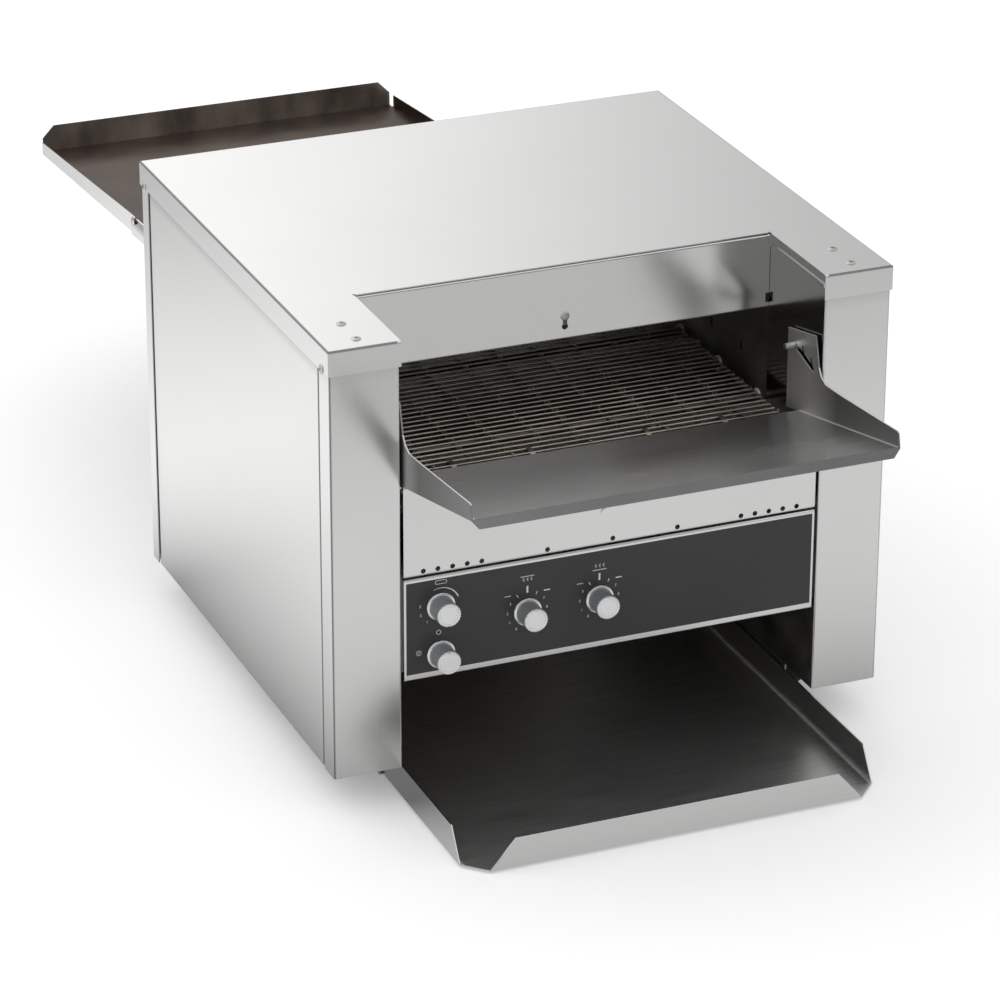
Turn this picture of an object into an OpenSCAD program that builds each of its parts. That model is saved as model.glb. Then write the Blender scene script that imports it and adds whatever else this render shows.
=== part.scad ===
// Conveyor toaster: a folded sheet-metal housing round a wire belt that carries bread
// from a loading shelf at the front, under and over heating rods, to a tray at the back
// or down a chute to a tray at the front.

/* [Housing] */
// Width over the cover's side flanges
body_w = 570; // [480:5:700]
// Depth of the housing, front to back
body_d = 538; // [500:2:660]
// Height of the housing without its feet
body_h = 436; // [428:2:540]
// Height of the feet
foot_h = 38; // [32:1:60]
// Thickness of the outer sheets
sheet = 1.2; // [0.8:0.1:1.5]
// Bend radius of the folded sheets
bend_r = 2.2; // [1.8:0.1:3]
// Width of each front cheek
cheek_w = 70; // [64:1:90]
// Depth of the loading recess cut into the cover
recess_d = 121; // [112:1:150]
// Height of the cover's turned-down flanges
flange_h = 25; // [20:1:32]
// Depth of the side returns of the cheeks
cheek_return = 26; // [20:0.5:40]
// Depth of the side returns of the rear panel
rear_return = 19; // [16:1:34]
// Width of the shadow gaps in front of the side panels
shadow_gap = 6; // [2:0.5:8]
// Width of the narrow gaps behind the side panels
rear_gap = 1; // [0.5:0.5:3]
// Height of the hemmed lips along the sides of the recess
lip_h = 13; // [10:0.5:18]

/* [Control panel] */
// Height of the panel's lower edge above the housing's bottom
panel_z = 88.5; // [80:0.5:110]
// Height of the control panel
panel_h = 105; // [96:1:130]
// Width of the bright rim above the overlay
rim_top = 4; // [3:0.5:8]
// Width of the bright rim below the overlay
rim_bottom = 6.5; // [3:0.5:9]
// Width of the bright rims beside the overlay
rim_side = 2.4; // [2:0.2:8]
// Gap between the cheeks and the parts between them, each side
side_gap = 3; // [1:0.5:4]
// Distance of the two stacked knobs from the panel's left end
knob_first = 36.5; // [30:0.5:60]
// Distance of the upper-heat knob from the panel's left end
knob_second = 124.5; // [90:0.5:160]
// Distance of the lower-heat knob from the panel's left end
knob_third = 198.5; // [165:0.5:260]
// Height of the knobs in line above the panel's lower edge
knob_row = 51.5; // [40:0.5:60]
// Height of the belt-speed knob above the panel's lower edge
knob_upper = 73; // [65:0.5:85]
// Height of the power knob above the panel's lower edge
knob_lower = 23.5; // [20:0.5:30]
// Diameter of a knob's silver face
knob_d = 24; // [18:0.5:30]
// Length of a knob, skirt to face
knob_l = 22.5; // [16:0.5:28]

/* [Conveyor] */
// Pitch of the belt's wires
belt_pitch = 10; // [8:0.5:12.5]
// Thickness of the belt's wire
wire_d = 2.4; // [1.6:0.1:3]
// Height of the belt's carrying wires above the housing's bottom
belt_z = 276; // [270:1:290]
// Height of the mouth between belt and header
mouth_h = 82; // [60:1:90]
// Distance of the idler shaft behind the front
idler_y = 63; // [60:1:70]
// Gap between the belt's edge and the tunnel wall
belt_edge_gap = 17; // [10:1:30]
// Distance between the lines of belt links
link_spacing = 40; // [30:1:60]
// Diameter of the two conveyor shafts
shaft_d = 12; // [10:0.5:14]

/* [Loading shelf] */
// Slope of the loading shelf in degrees
shelf_tilt = 12.4; // [8:0.2:16]
// Length of the shelf's floor along its slope
shelf_l = 210; // [160:1:240]
// Height of the shelf's ears above its floor
ear_h = 79.5; // [76:0.5:95]
// Drop of the shelf's front lip
shelf_lip = 10; // [6:0.5:16]
// Diameter of the studs that carry the shelf
stud_d = 6; // [4:0.5:8]

/* [Trays] */
// How far the discharge tray stands out in front
tray_reach = 159; // [120:1:220]
// Height of the discharge tray's flanges
tray_h = 32; // [24:0.5:34]
// Cut at the discharge tray's corners
tray_corner = 22; // [12:1:30]
// How far the rear tray reaches behind the housing
rear_reach = 591; // [400:1:700]
// Slope of the rear tray in degrees
rear_tilt = 3.9; // [2:0.1:6]
// Height of the rear tray's side flanges
rear_side_h = 20.5; // [16:0.5:30]
// Height of the rear tray's end wall
rear_end_h = 30; // [24:0.5:45]
// Length of the arms that carry the rear tray
arm_l = 254; // [200:1:300]

/* [Hidden] */

// clearances
fit = 0.3;        // between parts that are seated on each other
run = 0.06;       // round a turning shaft
hair = 0.1;       // between sheets that lie on each other

// the clear space between the cheeks, and the places of the sheets beside it
in_x = body_w / 2 - cheek_w;
cover_x = body_w / 2;
cheek_x = cover_x - sheet - hair;
panel_x = cheek_x - sheet;
lining_x = panel_x - sheet - hair;
deck_z = body_h - bend_r;
wall_out = in_x + sheet;
compartment_x = (in_x + cover_x) / 2;
front_y = sheet + hair;
face_y = front_y + sheet;
back_y = body_d - sheet - hair;
part_x = in_x - side_gap;

// side panels and posts
side_y0 = front_y + cheek_return + shadow_gap;
side_y1 = back_y - rear_return - rear_gap;
hem = 11;
post_w = 18;
post_t = 1.5;
pan_flange = 18;
foot_x = wall_out + 20;
foot_y = 100;

// conveyor
sprocket_teeth = 12;
sprocket_r = belt_pitch / (2 * sin(180 / sprocket_teeth));
strand_rise = sprocket_r * cos(180 / sprocket_teeth);
shaft_z = belt_z - strand_rise;
rear_room = 45;
belt_spans = floor((body_d - rear_room - idler_y) / belt_pitch) + 1;
drive_y = idler_y + (belt_spans - 1) * belt_pitch;
belt_x = in_x - belt_edge_gap;
link_gap = 0.2;
link_wire = 1.6;
link_reach = wire_d / 2 + link_gap + link_wire;
link_w = 2.2;
sprocket_w = 5;
sprocket_x = [-3.5 * link_spacing, -1.5 * link_spacing, 1.5 * link_spacing, 3.5 * link_spacing];
bush_r = shaft_d / 2 + 5;
bush_flange = bush_r + 4;

// chain drive in the right compartment
chain_pitch = 6.35;
chain_teeth = 12;
chain_spans = 19;
chain_r = chain_pitch / (2 * sin(180 / chain_teeth));
roller_r = 1.65;
motor_z = shaft_z - (chain_spans - 1) * chain_pitch;
gearbox_w = 32;
gearbox_h = 60;
chain_x = wall_out + gearbox_w + 7;
spindle_end = chain_x + 6;
motor_shaft_r = 5;
motor_can_r = 25;

// mouth, header, fascia
header_z = belt_z + mouth_h;
fascia_z = panel_z + panel_h + 2;
vent_r = 2.5;
vent_z = fascia_z + 5;
vent_end = 19.5;
vent_pitch = 14.7;
vent_middle = 67;
tab_w = 25;
tab_z = 36;

// loading shelf: its floor's rear edge, then sizes along (v) and across (w) its slope
shelf_y = 40;
shelf_z = belt_z + 7;
shelf_t = 1.5;
shelf_x = in_x - 2.5;
ear_rear = 12;
ear_front = 47.5;
slot_top = [0, 64];
slot_drop = [34.4, -18];
slot_r = stud_d / 2 + 0.25;
notch_l = 9;
stud_l = 11;
function shelf_point(v, w) =
  [shelf_y - v * cos(shelf_tilt) + w * sin(shelf_tilt),
   shelf_z + v * sin(shelf_tilt) + w * cos(shelf_tilt)];
stud = shelf_point(slot_top[0], slot_top[1]);

// trays
tray_x = in_x - 2;
tray_z = 2.8 - foot_h;
tray_back = 320;
runner_t = 1.4;
runner_y0 = 60;
runner_y1 = body_d - 38;
rear_x = in_x - 1.4;
rear_z = belt_z - 1;
rear_start = -20;
pin_at = arm_l - 16;
arm_t = 1.5;
crumb_x = in_x - 10;
crumb_z = belt_z - 68;
crumb_h = 14;
crumb_y0 = 210;
crumb_y1 = body_d - 38;
door_z = crumb_z - 7;
door_top = header_z + 14;

// heating rods
rod_r = 4;
insulator_r = 8;
upper_rod_z = body_h - 41;
upper_rods = [for (y = [recess_d + 39 : 60 : body_d - 70]) y];
lower_rods = [for (y = [recess_d + 19 : 90 : drive_y - 60]) y];
reflector_z = body_h - 12;

// controls
control_x0 = -part_x;
knob_at = [[control_x0 + knob_first, panel_z + knob_upper],
           [control_x0 + knob_first, panel_z + knob_lower],
           [control_x0 + knob_second, panel_z + knob_row],
           [control_x0 + knob_third, panel_z + knob_row]];
plate_y = face_y;
overlay_t = 0.5;
panel_depth = 13.5;
spindle_r = 3;
bushing_r = 5;
housing_d = 184;

// fan
fan_w = 60;
fan_h = 25;
fan_x = (wall_out + lining_x) / 2;
fan_y = 250;
fan_r = 27;

// the part's own frame: feet on z = 0, the whole depth centred on y = 0
front_end = min(-tray_reach, shelf_point(shelf_l, -shelf_lip)[0]);
rear_end = body_d + rear_reach;
mid_y = (front_end + rear_end) / 2;

STEEL = [0.78, 0.78, 0.77];
DARK = [0.16, 0.15, 0.14];

module place() { translate([0, -mid_y, foot_h]) children(); }
module both() { children(); mirror([1, 0, 0]) children(); }
// profiles drawn as (y, z), (x, z) and (x, y)
module along_x(x0, x1) { translate([x0, 0, 0]) rotate([90, 0, 90]) linear_extrude(x1 - x0) children(); }
module along_y(y0, y1) { translate([0, y1, 0]) rotate([90, 0, 0]) linear_extrude(y1 - y0) children(); }
module along_z(z0, z1) { translate([0, 0, z0]) linear_extrude(z1 - z0) children(); }
module box(lo, hi) { translate(lo) cube(hi - lo); }
module rod_x(x0, x1, y, z, r, sides = 40) {
  translate([x0, y, z]) rotate([0, 90, 0]) cylinder(r = r, h = x1 - x0, $fn = sides);
}
module rod_y(y0, y1, x, z, r, sides = 40) {
  translate([x, y1, z]) rotate([90, 0, 0]) cylinder(r = r, h = y1 - y0, $fn = sides);
}

// a folded sheet's section: a path, rounded at its bends, thickened to its left
function unit(v) = v / norm(v);
function left(v) = [-v[1], v[0]];
function shifted(a, b, c, t) =
  let (n = unit(left(unit(b - a)) + left(unit(c - b)))) b + n * t / (n * left(unit(b - a)));
function offset_path(p, t) = [for (i = [0 : len(p) - 1])
  i == 0 ? p[0] + left(unit(p[1] - p[0])) * t :
  i == len(p) - 1 ? p[i] + left(unit(p[i] - p[i - 1])) * t :
  shifted(p[i - 1], p[i], p[i + 1], t)];
function reversed(p) = [for (i = [len(p) - 1 : -1 : 0]) p[i]];
function turned(a) = a > 180 ? a - 360 : a < -180 ? a + 360 : a;
function bend(a, b, c, r, n) =
  let (u = unit(a - b), w = unit(c - b), half = acos(u * w) / 2,
       m = b + unit(u + w) * r / sin(half),
       p = b + u * r / tan(half) - m, q = b + w * r / tan(half) - m,
       a0 = atan2(p[1], p[0]), sweep = turned(atan2(q[1], q[0]) - a0))
  [for (k = [0 : n]) m + r * [cos(a0 + sweep * k / n), sin(a0 + sweep * k / n)]];
function bent(p, r, n = 4) = [for (i = [0 : len(p) - 1])
  each (i == 0 || i == len(p) - 1 ? [p[i]] : bend(p[i - 1], p[i], p[i + 1], r, n))];
module folded(path, t = sheet, r = bend_r) {
  line = bent(path, r);
  polygon(concat(line, reversed(offset_path(line, t))));
}

// points of a loop round two equal toothed wheels, the second n - 1 pitches along +u
function loop_points(p, teeth, n) =
  let (r = p / (2 * sin(180 / teeth)), step = 360 / teeth, flat = r * cos(step / 2))
  concat(
    [for (k = [0 : teeth / 2 - 1]) let (a = 270 - step / 2 - k * step) r * [cos(a), sin(a)]],
    [for (k = [1 : n - 1]) [(k - 0.5) * p, flat]],
    [for (k = [0 : teeth / 2 - 1]) let (a = 90 - step / 2 - k * step)
      [(n - 1) * p, 0] + r * [cos(a), sin(a)]],
    [for (k = [1 : n - 1]) [(n - 0.5 - k) * p, -flat]]);

// a wheel with a pocket for each wire or roller that it drives
module pocket_wheel(teeth, r, pocket_r, tip) {
  difference() {
    circle(r + tip, $fn = 96);
    for (k = [0 : teeth - 1]) rotate((k + 0.5) * 360 / teeth) translate([r, 0]) circle(pocket_r, $fn = 24);
  }
}

// a low head with a cross recess
module screw_head(r) difference() {
  rotate_extrude($fn = 32)
    polygon([[0, 0], [r, 0], [r, r * 0.1], [r * 0.82, r * 0.24], [r * 0.45, r * 0.33], [0, r * 0.35]]);
  for (a = [45, 135]) rotate(a) translate([-r * 0.45, -r * 0.09, r * 0.17]) cube([r * 0.9, r * 0.18, r]);
}

// ---------------------------------------------------------------- housing
module base_pan() {
  x0 = wall_out + fit;
  x1 = lining_x - hair;
  difference() {
    along_y(face_y + sheet, back_y - sheet - fit)
      folded([[x1, pan_flange], [x1, 0], [x0, 0], [x0, pan_flange]], -sheet);
    translate([fan_x, fan_y, -1]) cylinder(r = fan_r, h = 5, $fn = 48);
  }
}
module base_pans() color(STEEL) place() both() base_pan();

module feet() color("black") place()
  for (x = [-foot_x, foot_x], y = [foot_y, body_d - foot_y])
    translate([x, y, -foot_h]) rotate_extrude($fn = 48)
      polygon([[0, 0], [13.5, 0], [15, 1.5], [16.5, foot_h - 8], [16.5, foot_h], [0, foot_h]]);

module post(y0, y1, web_y) {
  box([lining_x - post_t, y0, pan_flange + 1], [lining_x, y1, deck_z - 2]);
  box([lining_x - post_w, web_y, pan_flange + 1], [lining_x, web_y + post_t, deck_z - 2]);
}
module corner_posts() color(DARK) place() both() {
  y0 = side_y0 - hair;
  y1 = side_y1 + hair;
  union() post(y0 - post_w, y0, y0 - post_t);
  union() post(y1, y1 + post_w, y1);
}

module side_panel() difference() {
  along_z(0, deck_z)
    folded([[panel_x - hem, side_y0], [panel_x, side_y0], [panel_x, side_y1], [panel_x - hem, side_y1]]);
  box([0, 0, -1], [lining_x, body_d, pan_flange + fit]);
}
module left_side_panel() color(STEEL) place() mirror([1, 0, 0]) side_panel();
module right_side_panel() color(STEEL) place() side_panel();

top_screw_y = [20, 58.5];
side_screw_y = [17, body_d - 14];
side_screw_z = body_h - flange_h + 2;
// the side holes open downwards, so that the cover drops over its side screws
module cover_holes(r) both() {
  for (y = top_screw_y) translate([compartment_x, y, body_h - 4]) cylinder(r = r, h = 6, $fn = 24);
  for (y = side_screw_y) {
    rod_x(cover_x - 3, cover_x + 1, y, side_screw_z, r, 24);
    box([cover_x - 3, y - r, body_h - flange_h - 1], [cover_x + 1, y + r, side_screw_z]);
  }
}
// the cover's outer form made smaller by t, open below z0
module cover_form(t, z0) intersection() {
  along_y(t, body_d - t) polygon(bent([[t - cover_x, z0], [t - cover_x, body_h - t],
    [cover_x - t, body_h - t], [cover_x - t, z0]], bend_r - t));
  along_x(t - cover_x, cover_x - t) polygon(bent([[t, z0], [t, body_h - t],
    [body_d - t, body_h - t], [body_d - t, z0]], bend_r - t));
}
// a lip along the side of the recess, with a closed hem
module recess_lip() {
  x = in_x - sheet;
  z0 = body_h - lip_h;
  y1 = recess_d - hair;
  box([x, sheet / 2, z0 + sheet], [in_x, y1, body_h - sheet * 0.75]);
  box([x - sheet, sheet / 2, z0 + sheet], [x + sheet / 2, y1, z0 + 4]);
  rod_y(sheet / 2, y1, x, z0 + sheet, sheet, 24);
}
module top_cover() color(STEEL) place() difference() {
  union() {
    difference() {
      cover_form(0, body_h - flange_h);
      cover_form(sheet, body_h - flange_h - 1);
      box([sheet - in_x, -1, body_h - flange_h - 1], [in_x - sheet, recess_d, body_h + 1]);
    }
    both() recess_lip();
  }
  cover_holes(2.2);
  both() translate([in_x - sheet, recess_d, body_h - 3]) cylinder(r = 1.6, h = 4, $fn = 24);
}
module cover_screws() color(STEEL) place() for (s = [-1, 1]) {
  for (y = top_screw_y) translate([s * compartment_x, y, body_h]) {
    screw_head(4.6);
    translate([0, 0, -3]) cylinder(r = 2, h = 3, $fn = 24);
  }
  for (y = side_screw_y) translate([s * cover_x, y, side_screw_z]) rotate([0, s * 90, 0]) {
    screw_head(4.6);
    translate([0, 0, -sheet]) cylinder(r = 2, h = sheet, $fn = 24);
  }
}

module cheek() difference() {
  along_z(0, deck_z)
    folded([[in_x, recess_d], [in_x, front_y], [cheek_x, front_y], [cheek_x, front_y + cheek_return]]);
  box([in_x - 1, face_y + bend_r, -1], [wall_out + 1, recess_d + 1, panel_z]);
  rod_x(in_x - 1, wall_out + 1, idler_y, shaft_z, bush_r + run);
}
module left_cheek() color(STEEL) place() mirror([1, 0, 0]) cheek();
module right_cheek() color(STEEL) place() cheek();

module inner_wall() difference() {
  along_x(in_x, wall_out) polygon([[face_y + bend_r + fit, 0], [back_y - sheet - fit, 0],
    [back_y - sheet - fit, deck_z - fit], [recess_d + fit, deck_z - fit],
    [recess_d + fit, panel_z - fit], [face_y + bend_r + fit, panel_z - fit]]);
  rod_x(in_x - 1, wall_out + 1, drive_y, shaft_z, bush_r + run);
  for (y = upper_rods) rod_x(in_x - 1, wall_out + 1, y, upper_rod_z, insulator_r + run);
  for (y = lower_rods) rod_x(in_x - 1, wall_out + 1, y, shaft_z, insulator_r + run);
  for (y = [recess_d + 58 : 68 : drive_y - 60])
    box([in_x - 1, y, belt_z + 14], [wall_out + 1, y + 4, belt_z + 24]);
}
module left_inner_wall() color(DARK) place() mirror([1, 0, 0]) inner_wall();
module right_inner_wall() color(DARK) place() inner_wall();

module header_plate() color(STEEL) place() difference() {
  along_x(fit - in_x, in_x - fit) folded([[recess_d + 16, deck_z], [recess_d, deck_z],
    [recess_d, header_z], [recess_d + 6, header_z], [recess_d + 6, header_z + 8]]);
  rod_y(recess_d - 1, recess_d + 3, 0, header_z + 13.5, 3.2, 24);
  rod_y(recess_d - 1, recess_d + 3, 0, header_z + 24, 2.3, 24);
  box([-2.3, recess_d - 1, header_z + 13.5], [2.3, recess_d + 3, header_z + 24]);
  both() box([in_x - 4, recess_d - 1, header_z + 6], [in_x, recess_d + 4, header_z + 16]);
}
module header_screw() color(STEEL) place() {
  translate([0, recess_d, header_z + 24]) rotate([90, 0, 0]) screw_head(4.4);
  rod_y(recess_d, recess_d + sheet + hair, 0, header_z + 24, 2, 24);
}

module front_fascia() color(STEEL) place() {
  under = -shelf_t - fit;
  top = shelf_point((shelf_y - face_y + under * sin(shelf_tilt)) / cos(shelf_tilt), under);
  back = top + 16 * [cos(shelf_tilt), -sin(shelf_tilt)];
  difference() {
    along_x(-part_x, part_x) folded([back, top, [face_y, fascia_z], [face_y + 14, fascia_z]]);
    for (s = [-1, 1], k = [0 : 4])
      rod_y(face_y - 1, face_y + 3, s * (part_x - vent_end - k * vent_pitch), vent_z, vent_r, 24);
    for (k = [-1 : 1]) rod_y(face_y - 1, face_y + 3, k * vent_middle, vent_z, vent_r, 24);
  }
  along_y(face_y - 1, face_y) intersection() {
    translate([0, fascia_z + tab_z - tab_w * 0.6]) circle(tab_w * 0.76, $fn = 64);
    translate([-tab_w / 2, fascia_z + tab_z - 3.5]) square([tab_w, 10]);
  }
}

module spindle_holes() for (k = knob_at) rod_y(plate_y - 1, plate_y + 3, k[0], k[1], bushing_r + 0.2);
module control_panel() color(STEEL) place() difference() {
  y1 = plate_y + panel_depth;
  z1 = panel_z + panel_h;
  path = [[y1, z1], [plate_y, z1], [plate_y, panel_z], [y1, panel_z]];
  union() {
    along_x(-part_x, part_x) folded(path, sheet, sheet + 0.5);
    both() along_x(part_x - sheet, part_x) polygon(bent(path, sheet + 0.5));
  }
  spindle_holes();
}
module panel_overlay() color(DARK) place() difference() {
  box([rim_side - part_x, plate_y - overlay_t, panel_z + rim_bottom],
      [part_x - rim_side, plate_y, panel_z + panel_h - rim_top]);
  spindle_holes();
}
module control_housing() color(STEEL) place() difference() {
  y0 = plate_y + panel_depth + hair;
  y1 = y0 + housing_d;
  z0 = panel_z + 4;
  z1 = fascia_z - fit;
  box([fit - in_x, y0, z0], [in_x - fit, y1, z1]);
  box([sheet + fit - in_x, y0 - 1, z0 + sheet], [in_x - fit - sheet, y1 - sheet, z1 - sheet]);
  for (k = [-6 : 6]) box([k * 24 - 7, y1 - 3, panel_z + 60], [k * 24 + 7, y1 + 1, panel_z + 64]);
}

// ---------------------------------------------------------------- controls
module control_body(k, r, depth) difference() {
  union() {
    rod_y(plate_y + sheet, plate_y + sheet + depth, k[0], k[1], r);
    rod_y(plate_y - overlay_t, plate_y + sheet, k[0], k[1], bushing_r);
    box([k[0] - 2, plate_y + sheet + 2, k[1] - r - 4], [k[0] + 2, plate_y + sheet + 3, k[1]]);
  }
  rod_y(plate_y - 2, plate_y + sheet + 10, k[0], k[1], spindle_r + run);
}
module spindle(k) {
  rod_y(plate_y - knob_l * 0.6, plate_y + sheet + 9.7, k[0], k[1], spindle_r);
}
// a skirt ring, a grip that widens to the silver face with its pointer notch, and a blind bore
module knob(k) {
  skirt = plate_y - overlay_t - fit;
  r = knob_d / 2;
  translate([k[0], skirt, k[1]]) rotate([90, 0, 0]) difference() {
    rotate_extrude($fn = 64) polygon([[0, 0], [r + 2.3, 0], [r + 2.3, 1.6], [r + 1.8, 2.2], [r - 0.2, 2.8],
      [r - 0.6, 3.2], [r, knob_l - 0.6], [r - 0.6, knob_l], [0, knob_l]]);
    translate([0, 0, -1]) cylinder(r = spindle_r + 0.05, h = knob_l * 0.6 + 1, $fn = 32);
    translate([-0.8, r - 3.2, knob_l - 1]) cube([1.6, 5, 2]);
  }
}
module speed_control() color("dimgray") place() control_body(knob_at[0], 12, 14);
module power_switch() color("dimgray") place() control_body(knob_at[1], 14, 20);
module upper_heat_control() color("dimgray") place() control_body(knob_at[2], 12, 14);
module lower_heat_control() color("dimgray") place() control_body(knob_at[3], 12, 14);
module speed_spindle() color("gold") place() spindle(knob_at[0]);
module power_spindle() color("gold") place() spindle(knob_at[1]);
module upper_heat_spindle() color("gold") place() spindle(knob_at[2]);
module lower_heat_spindle() color("gold") place() spindle(knob_at[3]);
module speed_knob() color("silver") place() knob(knob_at[0]);
module power_knob() color("silver") place() knob(knob_at[1]);
module upper_heat_knob() color("silver") place() knob(knob_at[2]);
module lower_heat_knob() color("silver") place() knob(knob_at[3]);

// ---------------------------------------------------------------- loading shelf
// drawn flat: v runs from the floor's rear edge to the front, w is the height above the floor
module on_slope() {
  translate([0, shelf_y, shelf_z]) rotate([-shelf_tilt, 0, 0]) mirror([0, 1, 0]) children();
}
function ear_lean(w) = -ear_rear - (ear_h - w) * tan(shelf_tilt);
module wing() along_x(shelf_x - shelf_t, shelf_x) difference() {
  polygon([[shelf_l, -shelf_t], [shelf_l, 13], [shelf_l - 1, 14.5], [90, 29.5], [62, 34], [53, 40],
    [49, 49], [ear_front, ear_h], [-ear_rear, ear_h], [ear_lean(-shelf_t), -shelf_t]]);
  slope = atan2(slot_drop[1], slot_drop[0]);
  translate(slot_top) {
    rotate(slope) {
      circle(slot_r, $fn = 32);
      translate([0, -slot_r]) square([norm(slot_drop), 2 * slot_r]);
      translate([norm(slot_drop), 0]) circle(slot_r, $fn = 32);
    }
    for (k = [0.5, 1]) translate(slot_drop * k) {
      translate([-slot_r * 0.6, 0]) square([slot_r * 1.2, notch_l]);
      translate([0, notch_l]) circle(slot_r * 0.6, $fn = 32);
    }
  }
}
module loading_shelf() color(STEEL) place() on_slope() {
  box([-shelf_x, 0, -shelf_t], [shelf_x, shelf_l, 0]);
  both() wing();
  along_y(shelf_l - shelf_t, shelf_l) polygon([[-shelf_x, -shelf_t / 2], [-shelf_x, -shelf_t],
    [7 - shelf_x, -shelf_lip], [shelf_x - 7, -shelf_lip], [shelf_x, -shelf_t], [shelf_x, -shelf_t / 2]]);
}
module shelf_studs() color(STEEL) place() both() {
  rod_x(shelf_x - shelf_t - stud_l, in_x - hair, stud[0], stud[1], stud_d / 2);
  rod_x(shelf_x + fit, in_x - hair, stud[0], stud[1], stud_d / 2 + 2);
}

// ---------------------------------------------------------------- trays
module discharge_tray() color(DARK) place() {
  y0 = -tray_reach;
  along_z(tray_z, tray_z + sheet) polygon([[-tray_x, y0 + tray_corner], [tray_corner - tray_x, y0],
    [tray_x - tray_corner, y0], [tray_x, y0 + tray_corner], [tray_x, tray_back], [-tray_x, tray_back]]);
  both() along_x(tray_x - sheet, tray_x) polygon([[y0 + tray_corner, tray_z + sheet / 2],
    [y0 + tray_corner + 21, tray_z + tray_h], [tray_back, tray_z + tray_h], [tray_back, tray_z + sheet / 2]]);
  x1 = tray_x - tray_corner;
  z0 = tray_z + sheet / 2;
  z1 = tray_z + tray_h - 1.5;
  along_y(y0, y0 + sheet) polygon([[-x1, z0], [x1, z0], [x1 - 26, z1], [26 - x1, z1]]);
}
module tray_runners() color(STEEL) place() both() {
  z1 = tray_z - fit;
  box([tray_x - 13, runner_y0, z1 - runner_t], [in_x + 0.9, runner_y1, z1]);
  box([in_x - 0.6, runner_y0, z1 - runner_t], [in_x + 0.9, runner_y1, -hair]);
}
module return_chute() color(DARK) place() difference() {
  y1 = back_y - sheet - 1.5;
  along_x(fit - in_x, in_x - fit) folded([[y1, door_z + 1], [y1 - 8, door_z - 22], [y1 - 34, door_z - 50],
    [tray_back + 16, tray_z + 12], [tray_back - 16, tray_z + sheet + 2.2]], 1, 14);
  both() box([tray_x - sheet - 0.8, 0, tray_z], [in_x + 1, body_d, tray_z + tray_h + 6]);
}

// drawn flat from the housing's back: u runs backwards down the slope
module on_rear_slope() { translate([0, body_d, rear_z]) rotate([-rear_tilt, 0, 0]) children(); }
rear_l = (rear_reach - rear_end_h * sin(rear_tilt)) / cos(rear_tilt);
module rear_tray() color(DARK) place() on_rear_slope() {
  side_end = rear_l - 8;
  end_x = rear_x - 3;
  end_cut = 13.5;
  along_z(0, sheet) polygon([[-rear_x, rear_start], [rear_x, rear_start], [rear_x, side_end],
    [end_x, side_end], [end_x, rear_l - sheet / 2], [-end_x, rear_l - sheet / 2],
    [-end_x, side_end], [-rear_x, side_end]]);
  both() along_x(rear_x - sheet, rear_x) polygon([[2, sheet / 2], [2, 12], [10, rear_side_h],
    [arm_l + 10, rear_side_h], [side_end, rear_side_h * 0.68], [side_end, sheet / 2]]);
  along_y(rear_l - sheet, rear_l) polygon([[-end_x, 0], [end_x, 0], [end_x, rear_end_h - end_cut],
    [end_x - end_cut, rear_end_h], [end_cut - end_x, rear_end_h], [-end_x, rear_end_h - end_cut]]);
  both() rod_x(rear_x - sheet / 2, rear_x + 4, pin_at, rear_side_h - 4, 2.6, 24);
}
module rear_tray_arms() color(STEEL) place() both() {
  x0 = rear_x + fit;
  seat = back_y + hair;
  pin_z = rear_side_h - 4;
  pin_r = 2.6 + fit;
  difference() {
    on_rear_slope() {
      difference() {
        along_x(x0, x0 + arm_t) polygon([[-9, rear_side_h], [-9, -46], [14, -46], [arm_l - 60, -1 - fit],
          [arm_l, -1 - fit], [arm_l, rear_side_h - 6], [arm_l - 6, rear_side_h]]);
        rod_x(x0 - 1, x0 + arm_t + 1, pin_at, pin_z, pin_r, 24);
        box([x0 - 1, pin_at - pin_r, pin_z], [x0 + arm_t + 1, pin_at + pin_r, rear_side_h + 1]);
      }
      box([x0 - 14, 8, -fit - arm_t], [x0 + arm_t / 2, arm_l, -fit]);
    }
    box([0, body_d - 40, 0], [body_w, seat, body_h]);
  }
  box([x0, seat, rear_z - 42], [x0 + 24, seat + arm_t, rear_z + rear_side_h - 2]);
}

module rear_panel() color(STEEL) place() difference() {
  along_z(0, deck_z) folded([[cheek_x, back_y - rear_return], [cheek_x, back_y],
    [-cheek_x, back_y], [-cheek_x, back_y - rear_return]]);
  box([-in_x + fit, back_y - 3, door_z], [in_x - fit, back_y + 1, door_top]);
  both() for (k = [0 : 7]) box([compartment_x - 18, back_y - 3, deck_z - 130 + k * 12],
    [compartment_x + 18, back_y + 1, deck_z - 126 + k * 12]);
  rod_y(back_y - 3, back_y + 1, -compartment_x, 60, 8 + fit);
}

module crumb_tray() color(STEEL) place() {
  along_y(crumb_y0, crumb_y1) folded([[crumb_x, crumb_z + crumb_h], [crumb_x, crumb_z],
    [-crumb_x, crumb_z], [-crumb_x, crumb_z + crumb_h]], -1);
  for (y = [crumb_y0, crumb_y1 - 1])
    box([0.5 - crumb_x, y, crumb_z + 0.5], [crumb_x - 0.5, y + 1, crumb_z + crumb_h]);
}
module crumb_runners() color(STEEL) place() both() along_y(crumb_y0, crumb_y1 + 26)
  folded([[in_x - fit, crumb_z + crumb_h], [in_x - fit, crumb_z - fit - 1.6],
    [crumb_x - 12, crumb_z - fit - 1.6]], -1.6);

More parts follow.
